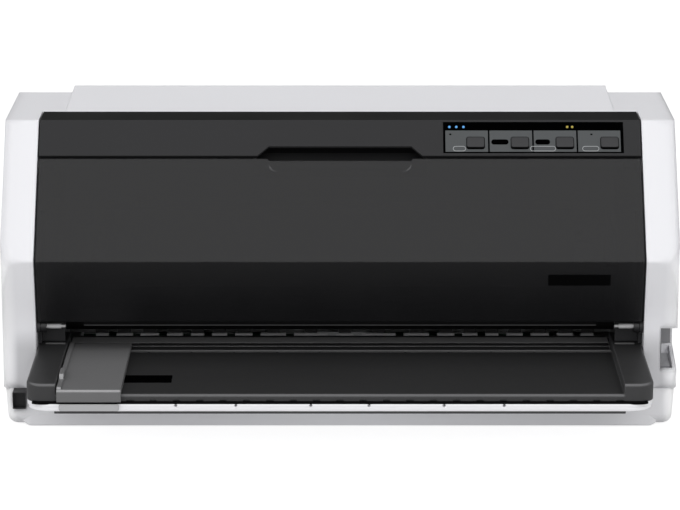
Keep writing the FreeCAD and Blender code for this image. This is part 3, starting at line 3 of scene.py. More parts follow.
import bpy
import numpy as np
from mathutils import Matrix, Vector


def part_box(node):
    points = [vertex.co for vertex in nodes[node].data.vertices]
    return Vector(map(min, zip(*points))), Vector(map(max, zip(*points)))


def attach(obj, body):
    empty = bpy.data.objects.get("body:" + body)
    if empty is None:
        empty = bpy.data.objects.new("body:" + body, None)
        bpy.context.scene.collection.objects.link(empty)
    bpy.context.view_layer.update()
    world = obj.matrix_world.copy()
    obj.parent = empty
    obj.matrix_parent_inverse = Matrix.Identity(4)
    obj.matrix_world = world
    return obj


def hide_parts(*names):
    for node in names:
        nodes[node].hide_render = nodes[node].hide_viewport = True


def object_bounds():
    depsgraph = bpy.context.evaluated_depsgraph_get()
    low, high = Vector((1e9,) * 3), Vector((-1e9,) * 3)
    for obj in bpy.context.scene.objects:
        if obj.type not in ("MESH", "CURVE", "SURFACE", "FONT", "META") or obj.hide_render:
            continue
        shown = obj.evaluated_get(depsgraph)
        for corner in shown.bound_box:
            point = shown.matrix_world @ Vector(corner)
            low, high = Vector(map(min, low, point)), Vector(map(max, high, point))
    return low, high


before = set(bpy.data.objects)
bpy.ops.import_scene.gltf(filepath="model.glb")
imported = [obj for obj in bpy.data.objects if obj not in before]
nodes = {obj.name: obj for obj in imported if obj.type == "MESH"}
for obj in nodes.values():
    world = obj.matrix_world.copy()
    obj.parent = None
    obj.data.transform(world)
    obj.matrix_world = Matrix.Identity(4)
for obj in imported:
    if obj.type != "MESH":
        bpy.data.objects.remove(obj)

cad_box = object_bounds()
MM = 0.001
TURN = 2 * math.pi


def span(node):
    """The lowest and the highest corner of a node at rest, in mm."""
    return np.round(np.array([list(corner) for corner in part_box(node)]) / MM, 2)


def middle(node):
    """The middle of a node's box at rest, in mm."""
    return np.round(span(node).mean(axis=0), 2)


# Node helpers

def put(tree, kind, inputs=None, **settings):
    """Adds one node. Inputs are numbers, colours or the sockets that feed them."""
    made = tree.nodes.new(kind)
    for key, value in settings.items():
        setattr(made, key, value)
    for key, value in (inputs or {}).items():
        if isinstance(value, bpy.types.NodeSocket):
            tree.links.new(value, made.inputs[key])
        else:
            made.inputs[key].default_value = value
    return made


def ramp(tree, value, start, end, low=0.0, high=1.0, **settings):
    """Takes value from start..end to low..high, and holds it beyond them."""
    return put(tree, "ShaderNodeMapRange", {"Value": value, "From Min": start, "From Max": end,
                                            "To Min": low, "To Max": high},
               **settings).outputs["Result"]


def product(tree, first, *others):
    """The product of some values, multiplied in their order."""
    for other in others:
        first = put(tree, "ShaderNodeMath", {0: first, 1: other}, operation="MULTIPLY").outputs[0]
    return first


def cosine(tree, first, second):
    """The cosine between two unit vectors."""
    return put(tree, "ShaderNodeVectorMath", {0: first, 1: second},
               operation="DOT_PRODUCT").outputs["Value"]


def mixed(tree, factor, first, second):
    """A colour from first at 0 to second at 1."""
    return put(tree, "ShaderNodeMix", {"Factor": factor, "A": first, "B": second},
               data_type="RGBA").outputs["Result"]


def noise(tree, place, scale, detail, roughness=0.5):
    return put(tree, "ShaderNodeTexNoise", {"Vector": place, "Scale": scale, "Detail": detail,
                                            "Roughness": roughness}).outputs["Fac"]


def object_place(tree):
    return put(tree, "ShaderNodeTexCoord").outputs["Object"]


def object_axes(tree):
    """The shaded point's X, Y and Z on the object, in metres."""
    return put(tree, "ShaderNodeSeparateXYZ", {0: object_place(tree)}).outputs


def new_effect(name, inputs, outputs):
    """Starts a node group with float inputs, given with their defaults. An output called Normal is a
    vector and the others are floats."""
    tree = bpy.data.node_groups.new(name, "ShaderNodeTree")
    for label, start in inputs.items():
        socket = tree.interface.new_socket(name=label, in_out="INPUT", socket_type="NodeSocketFloat")
        socket.default_value = start
    for label in outputs:
        kind = "NodeSocketVector" if label == "Normal" else "NodeSocketFloat"
        tree.interface.new_socket(name=label, in_out="OUTPUT", socket_type=kind)
    return tree, tree.nodes.new("NodeGroupInput").outputs, tree.nodes.new("NodeGroupOutput").inputs


def rounded_edge_effect():
    """Moulded corners: the normal is rounded over Radius, and Edge is how far it leaves the flat
    face's own normal, so that it is 1 on a corner and 0 on a face; it masks the lighter corners, worn
    and with a painted highlight. Ahead is 1 on the corners that look forward and up, half way between
    a level top and an upright front, and masks a painted highlight there."""
    tree, given, result = new_effect("rounded_edge", {"Radius": 0.0006}, ["Normal", "Edge", "Ahead"])
    rounded = put(tree, "ShaderNodeBevel", {"Radius": given["Radius"]}, samples=4).outputs[0]
    flat = put(tree, "ShaderNodeNewGeometry").outputs["True Normal"]
    slant = cosine(tree, rounded, (0.0, -0.7071, 0.7071))
    tree.links.new(rounded, result["Normal"])
    tree.links.new(ramp(tree, cosine(tree, rounded, flat), 0.995, 0.80), result["Edge"])
    tree.links.new(ramp(tree, slant, 0.76, 0.88), result["Ahead"])
    return tree


def moulding_effect():
    """Moulded plastic: Height is a fine spark-eroded grain, Mottle is a slow unevenness of the
    colour and the gloss, both round 0.5."""
    tree, given, result = new_effect("moulding", {"Scale": 1300.0, "Mottle Scale": 14.0},
                                     ["Height", "Mottle"])
    place = object_place(tree)
    tree.links.new(noise(tree, place, given["Scale"], 3.0, 0.6), result["Height"])
    tree.links.new(noise(tree, place, given["Mottle Scale"], 4.0, 0.55), result["Mottle"])
    return tree


def dust_effect():
    """Settled dust: a speckled mask on what faces up, thinner where the speckle is coarse."""
    tree, given, result = new_effect("settled_dust", {"Amount": 0.1}, ["Mask"])
    flat = put(tree, "ShaderNodeNewGeometry").outputs["True Normal"]
    upward = put(tree, "ShaderNodeSeparateXYZ", {0: flat}).outputs["Z"]
    spots = ramp(tree, noise(tree, object_place(tree), 420.0, 5.0, 0.7), 0.45, 0.75)
    mask = product(tree, ramp(tree, upward, 0.55, 0.98), spots, given["Amount"])
    tree.links.new(mask, result["Mask"])
    return tree


def brushed_effect():
    """Rolled or turned metal: Height is fine streaks along X from a noise that is stretched that way,
    and Streak is a patchy unevenness."""
    tree, given, result = new_effect("brushed", {"Scale": 900.0}, ["Height", "Streak"])
    place = object_place(tree)
    long_way = put(tree, "ShaderNodeMapping", {"Vector": place, "Scale": (0.04, 1.0, 1.0)}).outputs[0]
    tree.links.new(noise(tree, long_way, given["Scale"], 4.0), result["Height"])
    tree.links.new(noise(tree, place, 35.0, 3.0), result["Streak"])
    return tree


def facing_effect():
    """Mask is 1 on faces that look along (X, Y, Z) and 0 where the cosine is under From."""
    tree, given, result = new_effect("facing", {"X": 0.0, "Y": 0.0, "Z": 1.0, "From": 0.90}, ["Mask"])
    facing = put(tree, "ShaderNodeNewGeometry").outputs["Normal"]
    way = put(tree, "ShaderNodeCombineXYZ", {axis: given[axis] for axis in "XYZ"}).outputs[0]
    tree.links.new(ramp(tree, cosine(tree, facing, way), given["From"], 0.99), result["Mask"])
    return tree


def tower_effect():
    """The towers' front. Radius grows towards the outer corners, which are softly rounded. Shade masks a
    painted shade: it is 1 low down beside the tray, 0 on the outer corners, and falls to 0.2 at the
    middle, under the tray. Outer masks a painted highlight, 1 on the outer corners of the upright part."""
    tree, given, result = new_effect("tower", {"Small": 0.002, "Large": 0.009},
                                     ["Radius", "Shade", "Outer"])
    far_side, block_z = cad_box[1][0], span("front_tray")[1][2] * MM
    axes = object_axes(tree)
    side = put(tree, "ShaderNodeMath", {0: axes["X"]}, operation="ABSOLUTE").outputs[0]
    front = ramp(tree, axes["Y"], -0.070, -0.088)
    low = ramp(tree, axes["Z"], block_z + 0.017, block_z - 0.002, interpolation_type="SMOOTHSTEP")
    inner = ramp(tree, side, far_side - 0.0015, far_side - 0.0115)
    ends = ramp(tree, side, 0.02, 0.19, 0.2, 1.0)
    rim = ramp(tree, side, far_side - 0.0105, far_side - 0.0015)
    upright = ramp(tree, axes["Z"], 0.128, 0.112)
    soft = ramp(tree, side, far_side - 0.016, far_side - 0.009, given["Small"], given["Large"])
    tree.links.new(soft, result["Radius"])
    tree.links.new(product(tree, inner, low, ends, front), result["Shade"])
    tree.links.new(product(tree, rim, upright, front), result["Outer"])
    return tree


def sleeve_effect():
    """Mask is 1 outside Radius from an axis along X through (Y, Z), and 0 on the shaft inside."""
    tree, given, result = new_effect("sleeve", {"Y": 0.0, "Z": 0.0, "Radius": 0.004}, ["Mask"])
    axes = object_axes(tree)
    offset = {axis: put(tree, "ShaderNodeMath", {0: axes[axis], 1: given[axis]},
                        operation="SUBTRACT").outputs[0] for axis in "YZ"}
    flat = put(tree, "ShaderNodeCombineXYZ", offset).outputs[0]
    away = put(tree, "ShaderNodeVectorMath", {0: flat}, operation="LENGTH").outputs["Value"]
    outside = put(tree, "ShaderNodeMath", {0: away, 1: given["Radius"]}, operation="GREATER_THAN")
    tree.links.new(outside.outputs[0], result["Mask"])
    return tree


EDGE = rounded_edge_effect()
MOULD = moulding_effect()
DUST = dust_effect()
BRUSH = brushed_effect()
FACING = facing_effect()
TOWER = tower_effect()
SLEEVE = sleeve_effect()
DUST_COLOUR = (0.42, 0.41, 0.39, 1.0)
# Gain of the painted highlight on the towers' outer corners.
PAINTED_CORNER_LIGHT = 1.19
GRAIN_DEPTH = 0.00006
STREAK_DEPTH = 0.00004


def effect(tree, group, inputs=None):
    """Adds one of the effects above with its inputs."""
    return put(tree, "ShaderNodeGroup", inputs, node_tree=group)


def tint(colour, gain):
    """A colour made lighter or darker by gain, kept under 1."""
    return tuple(min(channel * gain, 0.98) for channel in colour) + (1.0,)


def start_material(name):
    made = bpy.data.materials.new(name)
    made.use_nodes = True
    tree = made.node_tree
    shader = tree.nodes["Principled BSDF"]
    return made, tree, shader


def engrave(tree, shader, inputs):
    """Gives the shader a bump."""
    bump = put(tree, "ShaderNodeBump", inputs)
    tree.links.new(bump.outputs["Normal"], shader.inputs["Normal"])


def plastic(name, colour, rough=0.45, gloss=0.5, grain=1300.0, depth=0.25, edge=1.25, uneven=0.05,
            radius=0.5, dust=0.0, alpha=1.0, glow=None, top=None, way=(0.0, 0.0, 1.0), start=0.90,
            tower=None, ahead=None):
    """Moulded plastic: its colour drifts with the mottle, gets lighter on its corners, which stands for
    both wear and a painted highlight, and takes a little dust on top. The grain is a bump of the
    rounded edge's normal. top is how light the faces that look along way are, a painted light or shade
    on them, ahead how light the upper front corners are, a painted highlight, and tower how light the
    towers are beside the tray, a painted shade, which also paints a highlight on their outer corners.
    radius is in mm."""
    made, tree, shader = start_material(name)
    corner = effect(tree, EDGE, {"Radius": radius * MM})
    mould = effect(tree, MOULD, {"Scale": grain}).outputs
    base = mixed(tree, mould["Mottle"], tint(colour, 1 - uneven), tint(colour, 1 + uneven))
    # Painted light or shade on the faces that look along way.
    if top is not None:
        level = effect(tree, FACING, {"X": way[0], "Y": way[1], "Z": way[2], "From": start})
        base = mixed(tree, level.outputs["Mask"], base, tint(colour, top))
    # Lighter corners, for wear and as a painted highlight.
    base = mixed(tree, corner.outputs["Edge"], base, tint(colour, edge))
    # Painted highlight on the corners that look forward and up.
    if ahead is not None:
        base = mixed(tree, corner.outputs["Ahead"], base, tint(colour, ahead))
    # Painted shade beside the tray and painted highlight on the towers' outer corners.
    if tower is not None:
        form = effect(tree, TOWER, {"Small": radius * MM}).outputs
        tree.links.new(form["Radius"], corner.inputs["Radius"])
        base = mixed(tree, form["Shade"], base, tint(colour, tower))
        base = mixed(tree, form["Outer"], base, tint(colour, PAINTED_CORNER_LIGHT))
    if dust:
        settled = effect(tree, DUST, {"Amount": dust})
        base = mixed(tree, settled.outputs["Mask"], base, DUST_COLOUR)
    satin = ramp(tree, mould["Mottle"], 0.3, 0.7, rough - 0.03, rough + 0.04)
    tree.links.new(base, shader.inputs["Base Color"])
    tree.links.new(satin, shader.inputs["Roughness"])
    engrave(tree, shader, {"Height": mould["Height"], "Strength": depth, "Distance": GRAIN_DEPTH,
                           "Normal": corner.outputs["Normal"]})
    shader.inputs["Specular IOR Level"].default_value = gloss
    shader.inputs["Alpha"].default_value = alpha
    if glow:
        shader.inputs["Emission Color"].default_value = tuple(glow[:3]) + (1.0,)
        shader.inputs["Emission Strength"].default_value = glow[3]
    return made


def metal(name, colour, rough=0.32, scale=900.0, depth=0.15, radius=0.3):
    """Sheet or turned metal: the streaks move its colour and its roughness a little."""
    made, tree, shader = start_material(name)
    corner = effect(tree, EDGE, {"Radius": radius * MM})
    brush = effect(tree, BRUSH, {"Scale": scale}).outputs
    base = mixed(tree, brush["Streak"], tint(colour, 0.86), tint(colour, 1.1))
    satin = ramp(tree, brush["Streak"], 0.3, 0.7, rough - 0.06, rough + 0.08)
    tree.links.new(base, shader.inputs["Base Color"])
    tree.links.new(satin, shader.inputs["Roughness"])
    engrave(tree, shader, {"Height": brush["Height"], "Strength": depth, "Distance": STREAK_DEPTH,
                           "Normal": corner.outputs["Normal"]})
    shader.inputs["Metallic"].default_value = 1.0
    return made


def rubber_on_shaft(name, rubber, node, core):
    """A steel shaft with rubber sleeves along the middle of a node: the sleeve mask chooses the
    colour, the metal and the roughness. core is the shaft's radius and a little more, in mm."""
    made, tree, shader = start_material(name)
    _, axis_y, axis_z = middle(node)
    sleeve = effect(tree, SLEEVE, {"Y": axis_y * MM, "Z": axis_z * MM, "Radius": core * MM})
    mask = sleeve.outputs["Mask"]
    mould = effect(tree, MOULD, {"Scale": 900.0}).outputs
    brush = effect(tree, BRUSH).outputs
    steel = mixed(tree, brush["Streak"], (0.50, 0.50, 0.51, 1.0), (0.68, 0.68, 0.69, 1.0))
    soft = mixed(tree, mould["Mottle"], tint(rubber, 0.88), tint(rubber, 1.12))
    tree.links.new(mixed(tree, mask, steel, soft), shader.inputs["Base Color"])
    tree.links.new(ramp(tree, mask, 0.0, 1.0, 1.0, 0.0), shader.inputs["Metallic"])
    tree.links.new(ramp(tree, mask, 0.0, 1.0, 0.25, 0.68), shader.inputs["Roughness"])
    engrave(tree, shader, {"Height": mould["Height"], "Strength": 0.4, "Distance": GRAIN_DEPTH})
    return made


# The finishes

# The tower gain paints shade on the towers' front beside the tray, and a highlight on their outer corners.
case_white = plastic("case_white", (0.81, 0.81, 0.84), 0.42, 0.4, depth=0.12, edge=1.05,
                     uneven=0.012, radius=2.0, tower=0.66)
tray_white = plastic("tray_white", (0.885, 0.885, 0.91), 0.38, 0.5, depth=0.08, edge=1.0,
                     uneven=0.01, radius=1.2)
# The tower gain paints shade on the base's front, less towards the middle, and a highlight on its outer
# corners.
base_grey = plastic("base_grey", (0.86, 0.86, 0.885), 0.45, 0.4, depth=0.15, edge=1.08,
                    uneven=0.015, radius=0.9, tower=0.76)
foot_rubber = plastic("foot_rubber", (0.022, 0.022, 0.023), 0.8, 0.25, grain=700, depth=0.5)
# The level top is painted much darker by the top gain, a painted shade.
bar_satin = plastic("bar_satin", (0.038, 0.038, 0.0395), 0.55, 0.03, edge=1.8, depth=0.25, radius=0.7,
                    top=0.08)
cheek_satin = plastic("cheek_satin", (0.022, 0.022, 0.024), 0.5, 0.3, edge=1.6, depth=0.2)
pocket_black = plastic("pocket_black", (0.004, 0.004, 0.0045), 0.5, 0.2, edge=1.3, depth=0.2)
# Level faces painted darker by the top gain, a painted shade, and upper front corners lighter by the ahead
# gain, a painted highlight.
tray_textured = plastic("tray_textured", (0.047, 0.047, 0.0485), 0.5, 0.22, grain=1100, depth=0.45,
                        edge=1.8, radius=1.7, dust=0.01, top=0.43, start=0.985, ahead=2.7)
guide_satin = plastic("guide_satin", (0.33, 0.33, 0.335), 0.5, 0.3, edge=1.2, depth=0.3)
chute_black = plastic("chute_black", (0.004, 0.004, 0.0043), 0.6, 0.1, edge=1.3, depth=0.3)
smoked = plastic("smoked", (0.006, 0.006, 0.0068), 0.30, 0.35, depth=0.06, edge=1.5, alpha=0.86,
                 radius=1.5)
arm_black = plastic("arm_black", (0.010, 0.010, 0.011), 0.4, 0.4)
label_matt = plastic("label_matt", (0.0008, 0.0008, 0.0009), 0.5, 0.04, edge=1.5, radius=0.1)
panel_matt = plastic("panel_matt", (0.0006, 0.0006, 0.0007), 0.6, 0.0, edge=1.5, radius=0.15)
tile_satin = plastic("tile_satin", (0.074, 0.079, 0.082), 0.5, 0.2, edge=1.3, radius=0.15)
# Key faces that look out of the slope painted twelve times lighter than the black sides, painted light and
# shade, and corners lighter by the edge gain, a painted highlight.
button_satin = plastic("button_satin", (0.004, 0.004, 0.0042), 0.42, 0.10, edge=10.0, radius=0.2,
                       top=12.0, way=(0.0, -0.8031, 0.5959), start=0.55)
blue_lens = plastic("blue_lens", (0.06, 0.22, 0.48), 0.2, 0.5, glow=(0.12, 0.45, 0.95, 0.28))
amber_lens = plastic("amber_lens", (0.30, 0.23, 0.03), 0.2, 0.5, glow=(0.62, 0.48, 0.06, 0.15))
# Upper front corners lighter by the ahead gain, a painted highlight.
slide_grey = plastic("slide_grey", (0.142, 0.142, 0.145), 0.45, 0.35, depth=0.3, edge=1.3, radius=1.6,
                     ahead=2.4)
pin_grey = plastic("pin_grey", (0.52, 0.52, 0.53), 0.35, 0.5)
rocker_grey = plastic("rocker_grey", (0.34, 0.34, 0.355), 0.4, 0.4, edge=1.3)
# Grey standing for the shade in the power switch recess.
recess_painted_shade = plastic("recess_painted_shade", (0.26, 0.26, 0.27), 0.5, 0.3, edge=1.2)
front_roller = rubber_on_shaft("front_roller", (0.62, 0.62, 0.63), "front_feed_roller", 4.4)
rear_roller = rubber_on_shaft("rear_roller", (0.10, 0.10, 0.105), "rear_feed_roller", 4.4)
front_pinch = rubber_on_shaft("front_pinch", (0.012, 0.012, 0.0125), "front_pinch_rollers", 2.3)
rear_pinch = rubber_on_shaft("rear_pinch", (0.03, 0.03, 0.031), "rear_pinch_rollers", 2.3)
belt_rubber = plastic("belt_rubber", (0.016, 0.016, 0.017), 0.65, 0.3, grain=900, depth=0.4)
chassis_zinc = metal("chassis_zinc", (0.50, 0.51, 0.52), 0.42, 500)
platen_zinc = metal("platen_zinc", (0.32, 0.325, 0.33), 0.38, 700)
shaft_bright = metal("shaft_bright", (0.66, 0.66, 0.67), 0.22, 1400)
screw_bright = metal("screw_bright", (0.56, 0.56, 0.57), 0.3, 1400)
motor_plate = metal("motor_plate", (0.40, 0.40, 0.41), 0.4, 700)
carriage_satin = plastic("carriage_satin", (0.020, 0.020, 0.021), 0.5, 0.35, edge=1.6)
cartridge_satin = plastic("cartridge_satin", (0.013, 0.013, 0.014), 0.42, 0.4, edge=1.8, radius=0.8)
knob_satin = plastic("knob_satin", (0.05, 0.05, 0.052), 0.4, 0.4, edge=1.6)
tractor_satin = plastic("tractor_satin", (0.028, 0.028, 0.030), 0.45, 0.4, edge=1.6)
tractor_lid_grey = plastic("tractor_lid_grey", (0.075, 0.076, 0.080), 0.42, 0.4, edge=1.5)
head_cast = metal("head_cast", (0.14, 0.14, 0.145), 0.5, 600, depth=0.4)
rear_satin = plastic("rear_satin", (0.62, 0.62, 0.635), 0.45, 0.4, depth=0.15, edge=1.06,
                     uneven=0.015, radius=0.8)
socket_black = plastic("socket_black", (0.014, 0.014, 0.015), 0.45, 0.4, edge=1.6)
print_pale = plastic("print_pale", (0.38, 0.39, 0.40), 0.5, 0.2, edge=1.1, radius=0.05)
# A little lighter than the smoked cover, a painted highlight on the grip's crescents.
rim_gloss = plastic("rim_gloss", (0.016, 0.016, 0.018), 0.18, 0.6, edge=1.8, radius=0.1)
# Lighter grey for a painted highlight on the tray's back rim.
rim_painted_highlight = plastic("rim_painted_highlight", (0.11, 0.11, 0.112), 0.45, 0.5, edge=1.4)
# Black standing for shade, in the base's recess and the sill's grooves.
painted_shade_black = plastic("painted_shade_black", (0.030, 0.030, 0.031), 0.55, 0.2, edge=1.3, radius=0.3)
# Dark grey for the painted shadow under the tray's shell.
lip_shadow = plastic("lip_shadow", (0.060, 0.060, 0.062), 0.6, 0.2, edge=1.3, radius=0.2)
# Black for the seam under the tray, which also stands for the shadow there.
seam_and_shadow_black = plastic("seam_and_shadow_black", (0.002, 0.002, 0.0021), 0.7, 0.03, edge=1.3, radius=0.1)
hem_black = plastic("hem_black", (0.003, 0.003, 0.0032), 0.35, 0.08, edge=1.3, radius=0.3)
# Lighter grey for a painted highlight on the hinge step ribs.
step_painted_highlight = plastic("step_painted_highlight", (0.072, 0.072, 0.073), 0.5, 0.3, edge=1.3)
# Grey for the edge guide's painted shadow on the tray's lip.
guide_shadow_grey = plastic("guide_shadow_grey", (0.45, 0.45, 0.46), 0.45, 0.3, edge=1.2, radius=0.4)
# Lighter than the hem, a painted highlight along the cover's lower edge.
bead_painted_highlight = plastic("bead_painted_highlight", (0.024, 0.024, 0.0255), 0.4, 0.3, edge=1.2, radius=0.1)
sill_rib = plastic("sill_rib", (0.12, 0.12, 0.122), 0.5, 0.3, edge=1.2, radius=0.2)
socket_steel = metal("socket_steel", (0.50, 0.50, 0.51), 0.30, 1200)
contact_gold = metal("contact_gold", (0.72, 0.52, 0.22), 0.28, 1400)
laminate_green = plastic("laminate_green", (0.012, 0.085, 0.035), 0.35, 0.5, grain=260, depth=0.3,
                         uneven=0.12, radius=0.1)

finish_of = {
    case_white: ["upper_case"],
    tray_white: ["tray_shell"],
    base_grey: ["lower_case"],
    foot_rubber: ["rubber_feet"],
    front_roller: ["front_feed_roller"],
    rear_roller: ["rear_feed_roller"],
    front_pinch: ["front_pinch_rollers"],
    rear_pinch: ["rear_pinch_rollers"],
    belt_rubber: ["carriage_belt", "feed_belt"],
    bar_satin: ["top_bar"],
    cheek_satin: ["inner_cheeks"],
    pocket_black: ["grip_pocket"],
    tray_textured: ["front_tray"],
    guide_satin: ["front_lower_guide"],
    chute_black: ["front_upper_guide", "rear_lower_guide"],
    smoked: ["cover_window"],
    arm_black: ["cover_arms"],
    label_matt: ["cover_label"],
    panel_matt: ["panel_overlay"],
    tile_satin: ["panel_tiles"],
    button_satin: ["tear_off_button", "line_feed_button", "load_eject_button", "pause_button"],
    blue_lens: ["ready_lamps"],
    amber_lens: ["paper_lamps"],
    slide_grey: ["edge_guide"],
    pin_grey: ["hinge_pins"],
    rocker_grey: ["power_rocker", "power_switch"],
    chassis_zinc: ["chassis", "left_side_frame", "right_side_frame", "rear_beam"],
    platen_zinc: ["platen_bar"],
    shaft_bright: ["guide_shaft", "tractor_rod", "tractor_shaft", "motor_pulley", "idler_pulley",
                   "feed_pulley"],
    screw_bright: ["screws"],
    motor_plate: ["carriage_motor", "feed_motor"],
    carriage_satin: ["carriage"],
    cartridge_satin: ["ribbon_cartridge"],
    knob_satin: ["ribbon_knob"],
    tractor_satin: ["left_tractor", "right_tractor"],
    tractor_lid_grey: ["left_tractor_lid", "right_tractor_lid"],
    head_cast: ["print_head"],
    rear_satin: ["rear_cover"],
    socket_black: ["power_inlet", "interface_ports"],
    laminate_green: ["main_board", "power_supply", "control_board"],
}
for material, names in finish_of.items():
    for name in names:
        for place in nodes[name].material_slots:
            place.material = material


# New pieces

ROOT = "root"
# The front slope's ways down and out of it, and the point at the middle of its upper edge. All
# lengths from here to the stage are in mm, and come from the frame where a node gives them.
SLOPE_DOWN = np.array([0.0, -0.5959, -0.8031])
SLOPE_OUT = np.array([0.0, -0.8031, 0.5959])
BROW = np.array([0.0, -36.0, span("top_bar")[1][2]])
TRAY_HALF, _, BLOCK_TOP_Z = span("front_tray")[1]
_, TRAY_FRONT_Y, SEAM_Z = span("front_tray")[0]
_, SHELL_FRONT_Y, SHELL_LOW_Z = span("tray_shell")[0]
SILL_HALF, _, FLOOR_Z = span("front_lower_guide")[1]
BACK_Y = span("upper_case")[1][1]
KNOB_X, RIBBON_Y, _ = middle("ribbon_knob")
RIBBON_TOP_Z = span("ribbon_cartridge")[1][2]
# The keys sit a little beside the middles of their openings.
KEY_SHIFTS = {"tear_off_button": 0.7, "line_feed_button": 0.3, "load_eject_button": -0.5,
              "pause_button": 0.4}
OPENING_DOWN = 17.4
OPENING_HALF = (7.5, 5.5)
OPENINGS = [(middle(node)[0], OPENING_DOWN) for node in KEY_SHIFTS]
KEYS = [(middle(node)[0] + shift, OPENING_DOWN + 0.4) for node, shift in KEY_SHIFTS.items()]
KEY_HALF = (6.3, 4.35)
KEY_LEAN = 0.19
RECESS_SLOPE = 10.0 / 36.0


def skin(name, grid, material, body, looped=False, sharp=32.0):
    """A closed surface through a grid of points in mm: grid[k, i, j] is point j round ring i of copy
    k. Quads join each ring to the next, and the first and last rings are closed by one face each.
    With looped the last ring joins the first instead, like a tyre. The sign of the volume, a sum of
    triple products over the quads, says whether the faces have to be turned round."""
    copies, rows, ring, _ = grid.shape
    number = np.arange(copies * rows * ring).reshape(copies, rows, ring)
    here = number if looped else number[:, :-1]
    there = np.roll(number, -1, axis=1) if looped else number[:, 1:]
    quads = np.stack([here, np.roll(here, -1, axis=2), np.roll(there, -1, axis=2), there], axis=-1)
    quads = quads.reshape(-1, 4)
    points = grid.reshape(-1, 3) * MM
    mid = points.mean(axis=0)
    a, b, c, d = (points[quads[:, k]] - mid for k in range(4))
    volume = np.einsum("ij,ij->", a, np.cross(b, c)) + np.einsum("ij,ij->", a, np.cross(c, d))
    ends = [] if looped else np.concatenate([number[:, 0, ::-1], number[:, -1]]).tolist()
    if ends:
        fans = np.array(ends)
        first = points[fans[:, :1]] - mid
        volume += np.einsum("ijk,ijk->", np.broadcast_to(first, points[fans[:, 1:-1]].shape),
                            np.cross(points[fans[:, 1:-1]] - mid, points[fans[:, 2:]] - mid))
    faces = quads.tolist() + ends
    if volume < 0:
        faces = [face[::-1] for face in faces]
    mesh = bpy.data.meshes.new(name)
    mesh.from_pydata(points.tolist(), [], faces)
    mesh.polygons.foreach_set("use_smooth", np.ones(len(faces), dtype=bool))
    mesh.set_sharp_from_angle(angle=math.radians(sharp))
    mesh.materials.append(material)
    piece = bpy.data.objects.new(name, mesh)
    bpy.context.scene.collection.objects.link(piece)
    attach(piece, body)
    return piece


def rounded_outline(half_a, half_b, corner, count=32):
    """Points round a rectangle with round corners. The angle t turns once; each quarter of it is one
    corner's arc, corner times (cos t, sin t), moved by (half - corner) with the signs of that
    quarter, so the straight sides are the steps between the quarters. The sizes may be arrays, and
    then there is one outline for each of them."""
    t = (np.arange(count) + 0.5) / count * TURN
    half_a, half_b, corner = (np.asarray(v, dtype=float)[..., None] for v in (half_a, half_b, corner))
    across = np.sign(np.cos(t)) * (half_a - corner) + corner * np.cos(t)
    along = np.sign(np.sin(t)) * (half_b - corner) + corner * np.sin(t)
    return np.stack([across, along], axis=-1)


def moulded(centres, halves, corner, levels, count=32):
    """Low round-cornered shapes as (a, b, out): ring i is the outline drawn in by levels[i][0] and
    raised to levels[i][1]. One copy for each centre; halves is one pair or one pair a copy, and
    corner is one radius or one a level."""
    centres = np.asarray(centres, dtype=float)
    halves = np.broadcast_to(np.asarray(halves, dtype=float), centres.shape)
    inset, out = np.asarray(levels, dtype=float).T
    least = halves.min(axis=1)[:, None] - inset
    round_off = np.maximum(np.minimum(corner - inset, least - 0.02), 0.06)
    flat = rounded_outline(halves[:, :1] - inset, halves[:, 1:] - inset, round_off, count)
    flat = flat + centres[:, None, None, :]
    height = np.broadcast_to(out[None, :, None, None], flat.shape[:3] + (1,))
    return np.concatenate([flat, height], axis=-1)


def domed(height, base=0.0, edge=0.4, crown=0.0, reach=1.0, steps=5):
    """Levels for moulded: up from base, a quarter-circle edge of radius edge to height, then a crown
    that rises by crown times 1 - (1 - share) squared while the outline is drawn in by reach."""
    t = np.linspace(0, TURN / 4, steps)
    corner = np.stack([edge * (1 - np.cos(t)), height - edge + edge * np.sin(t)], axis=-1)
    share = np.linspace(0, 1, steps)[1:]
    top = np.stack([edge + share * reach, height + crown * (1 - (1 - share) ** 2)], axis=-1)
    return np.concatenate([[[0.0, base]], corner, top])


def on_slope(flat):
    """(x, distance down the slope, height out of it) to (x, y, z)."""
    x, down, out = flat[..., :1], flat[..., 1:2], flat[..., 2:]
    return BROW + x * np.array([1.0, 0.0, 0.0]) + down * SLOPE_DOWN + out * SLOPE_OUT


def lying(flat, z):
    """(x, y, height) on a level face at z."""
    return flat + np.array([0.0, 0.0, z])


def behind(flat, y):
    """(x, z, height) on the back face at y, which looks to +Y."""
    return np.stack([flat[..., 0], y + flat[..., 2], flat[..., 1]], axis=-1)


def turned(centres, profile, axis, count=32, flutes=0, depth=0.0):
    """Turned shapes: ring i has radius profile[i][0] at profile[i][1] along the axis, and with flutes
    its radius falls by depth times (1 - cos(flutes t)) / 2."""
    t = np.arange(count) / count * TURN
    radius, along = np.asarray(profile, dtype=float).T
    ripple = 1 - (depth * (1 - np.cos(flutes * t)) / 2)[None] / np.maximum(radius, 0.01)[:, None]
    ring = radius[:, None] * (np.where(radius[:, None] > depth * 2, ripple, 1.0))
    a, b = ring * np.cos(t), ring * np.sin(t)
    c = np.broadcast_to(along[:, None], a.shape)
    order = {"x": (c, a, b), "y": (b, c, a), "z": (a, b, c)}[axis]
    return np.stack(order, axis=-1)[None] + np.asarray(centres, dtype=float)[:, None, None, :]


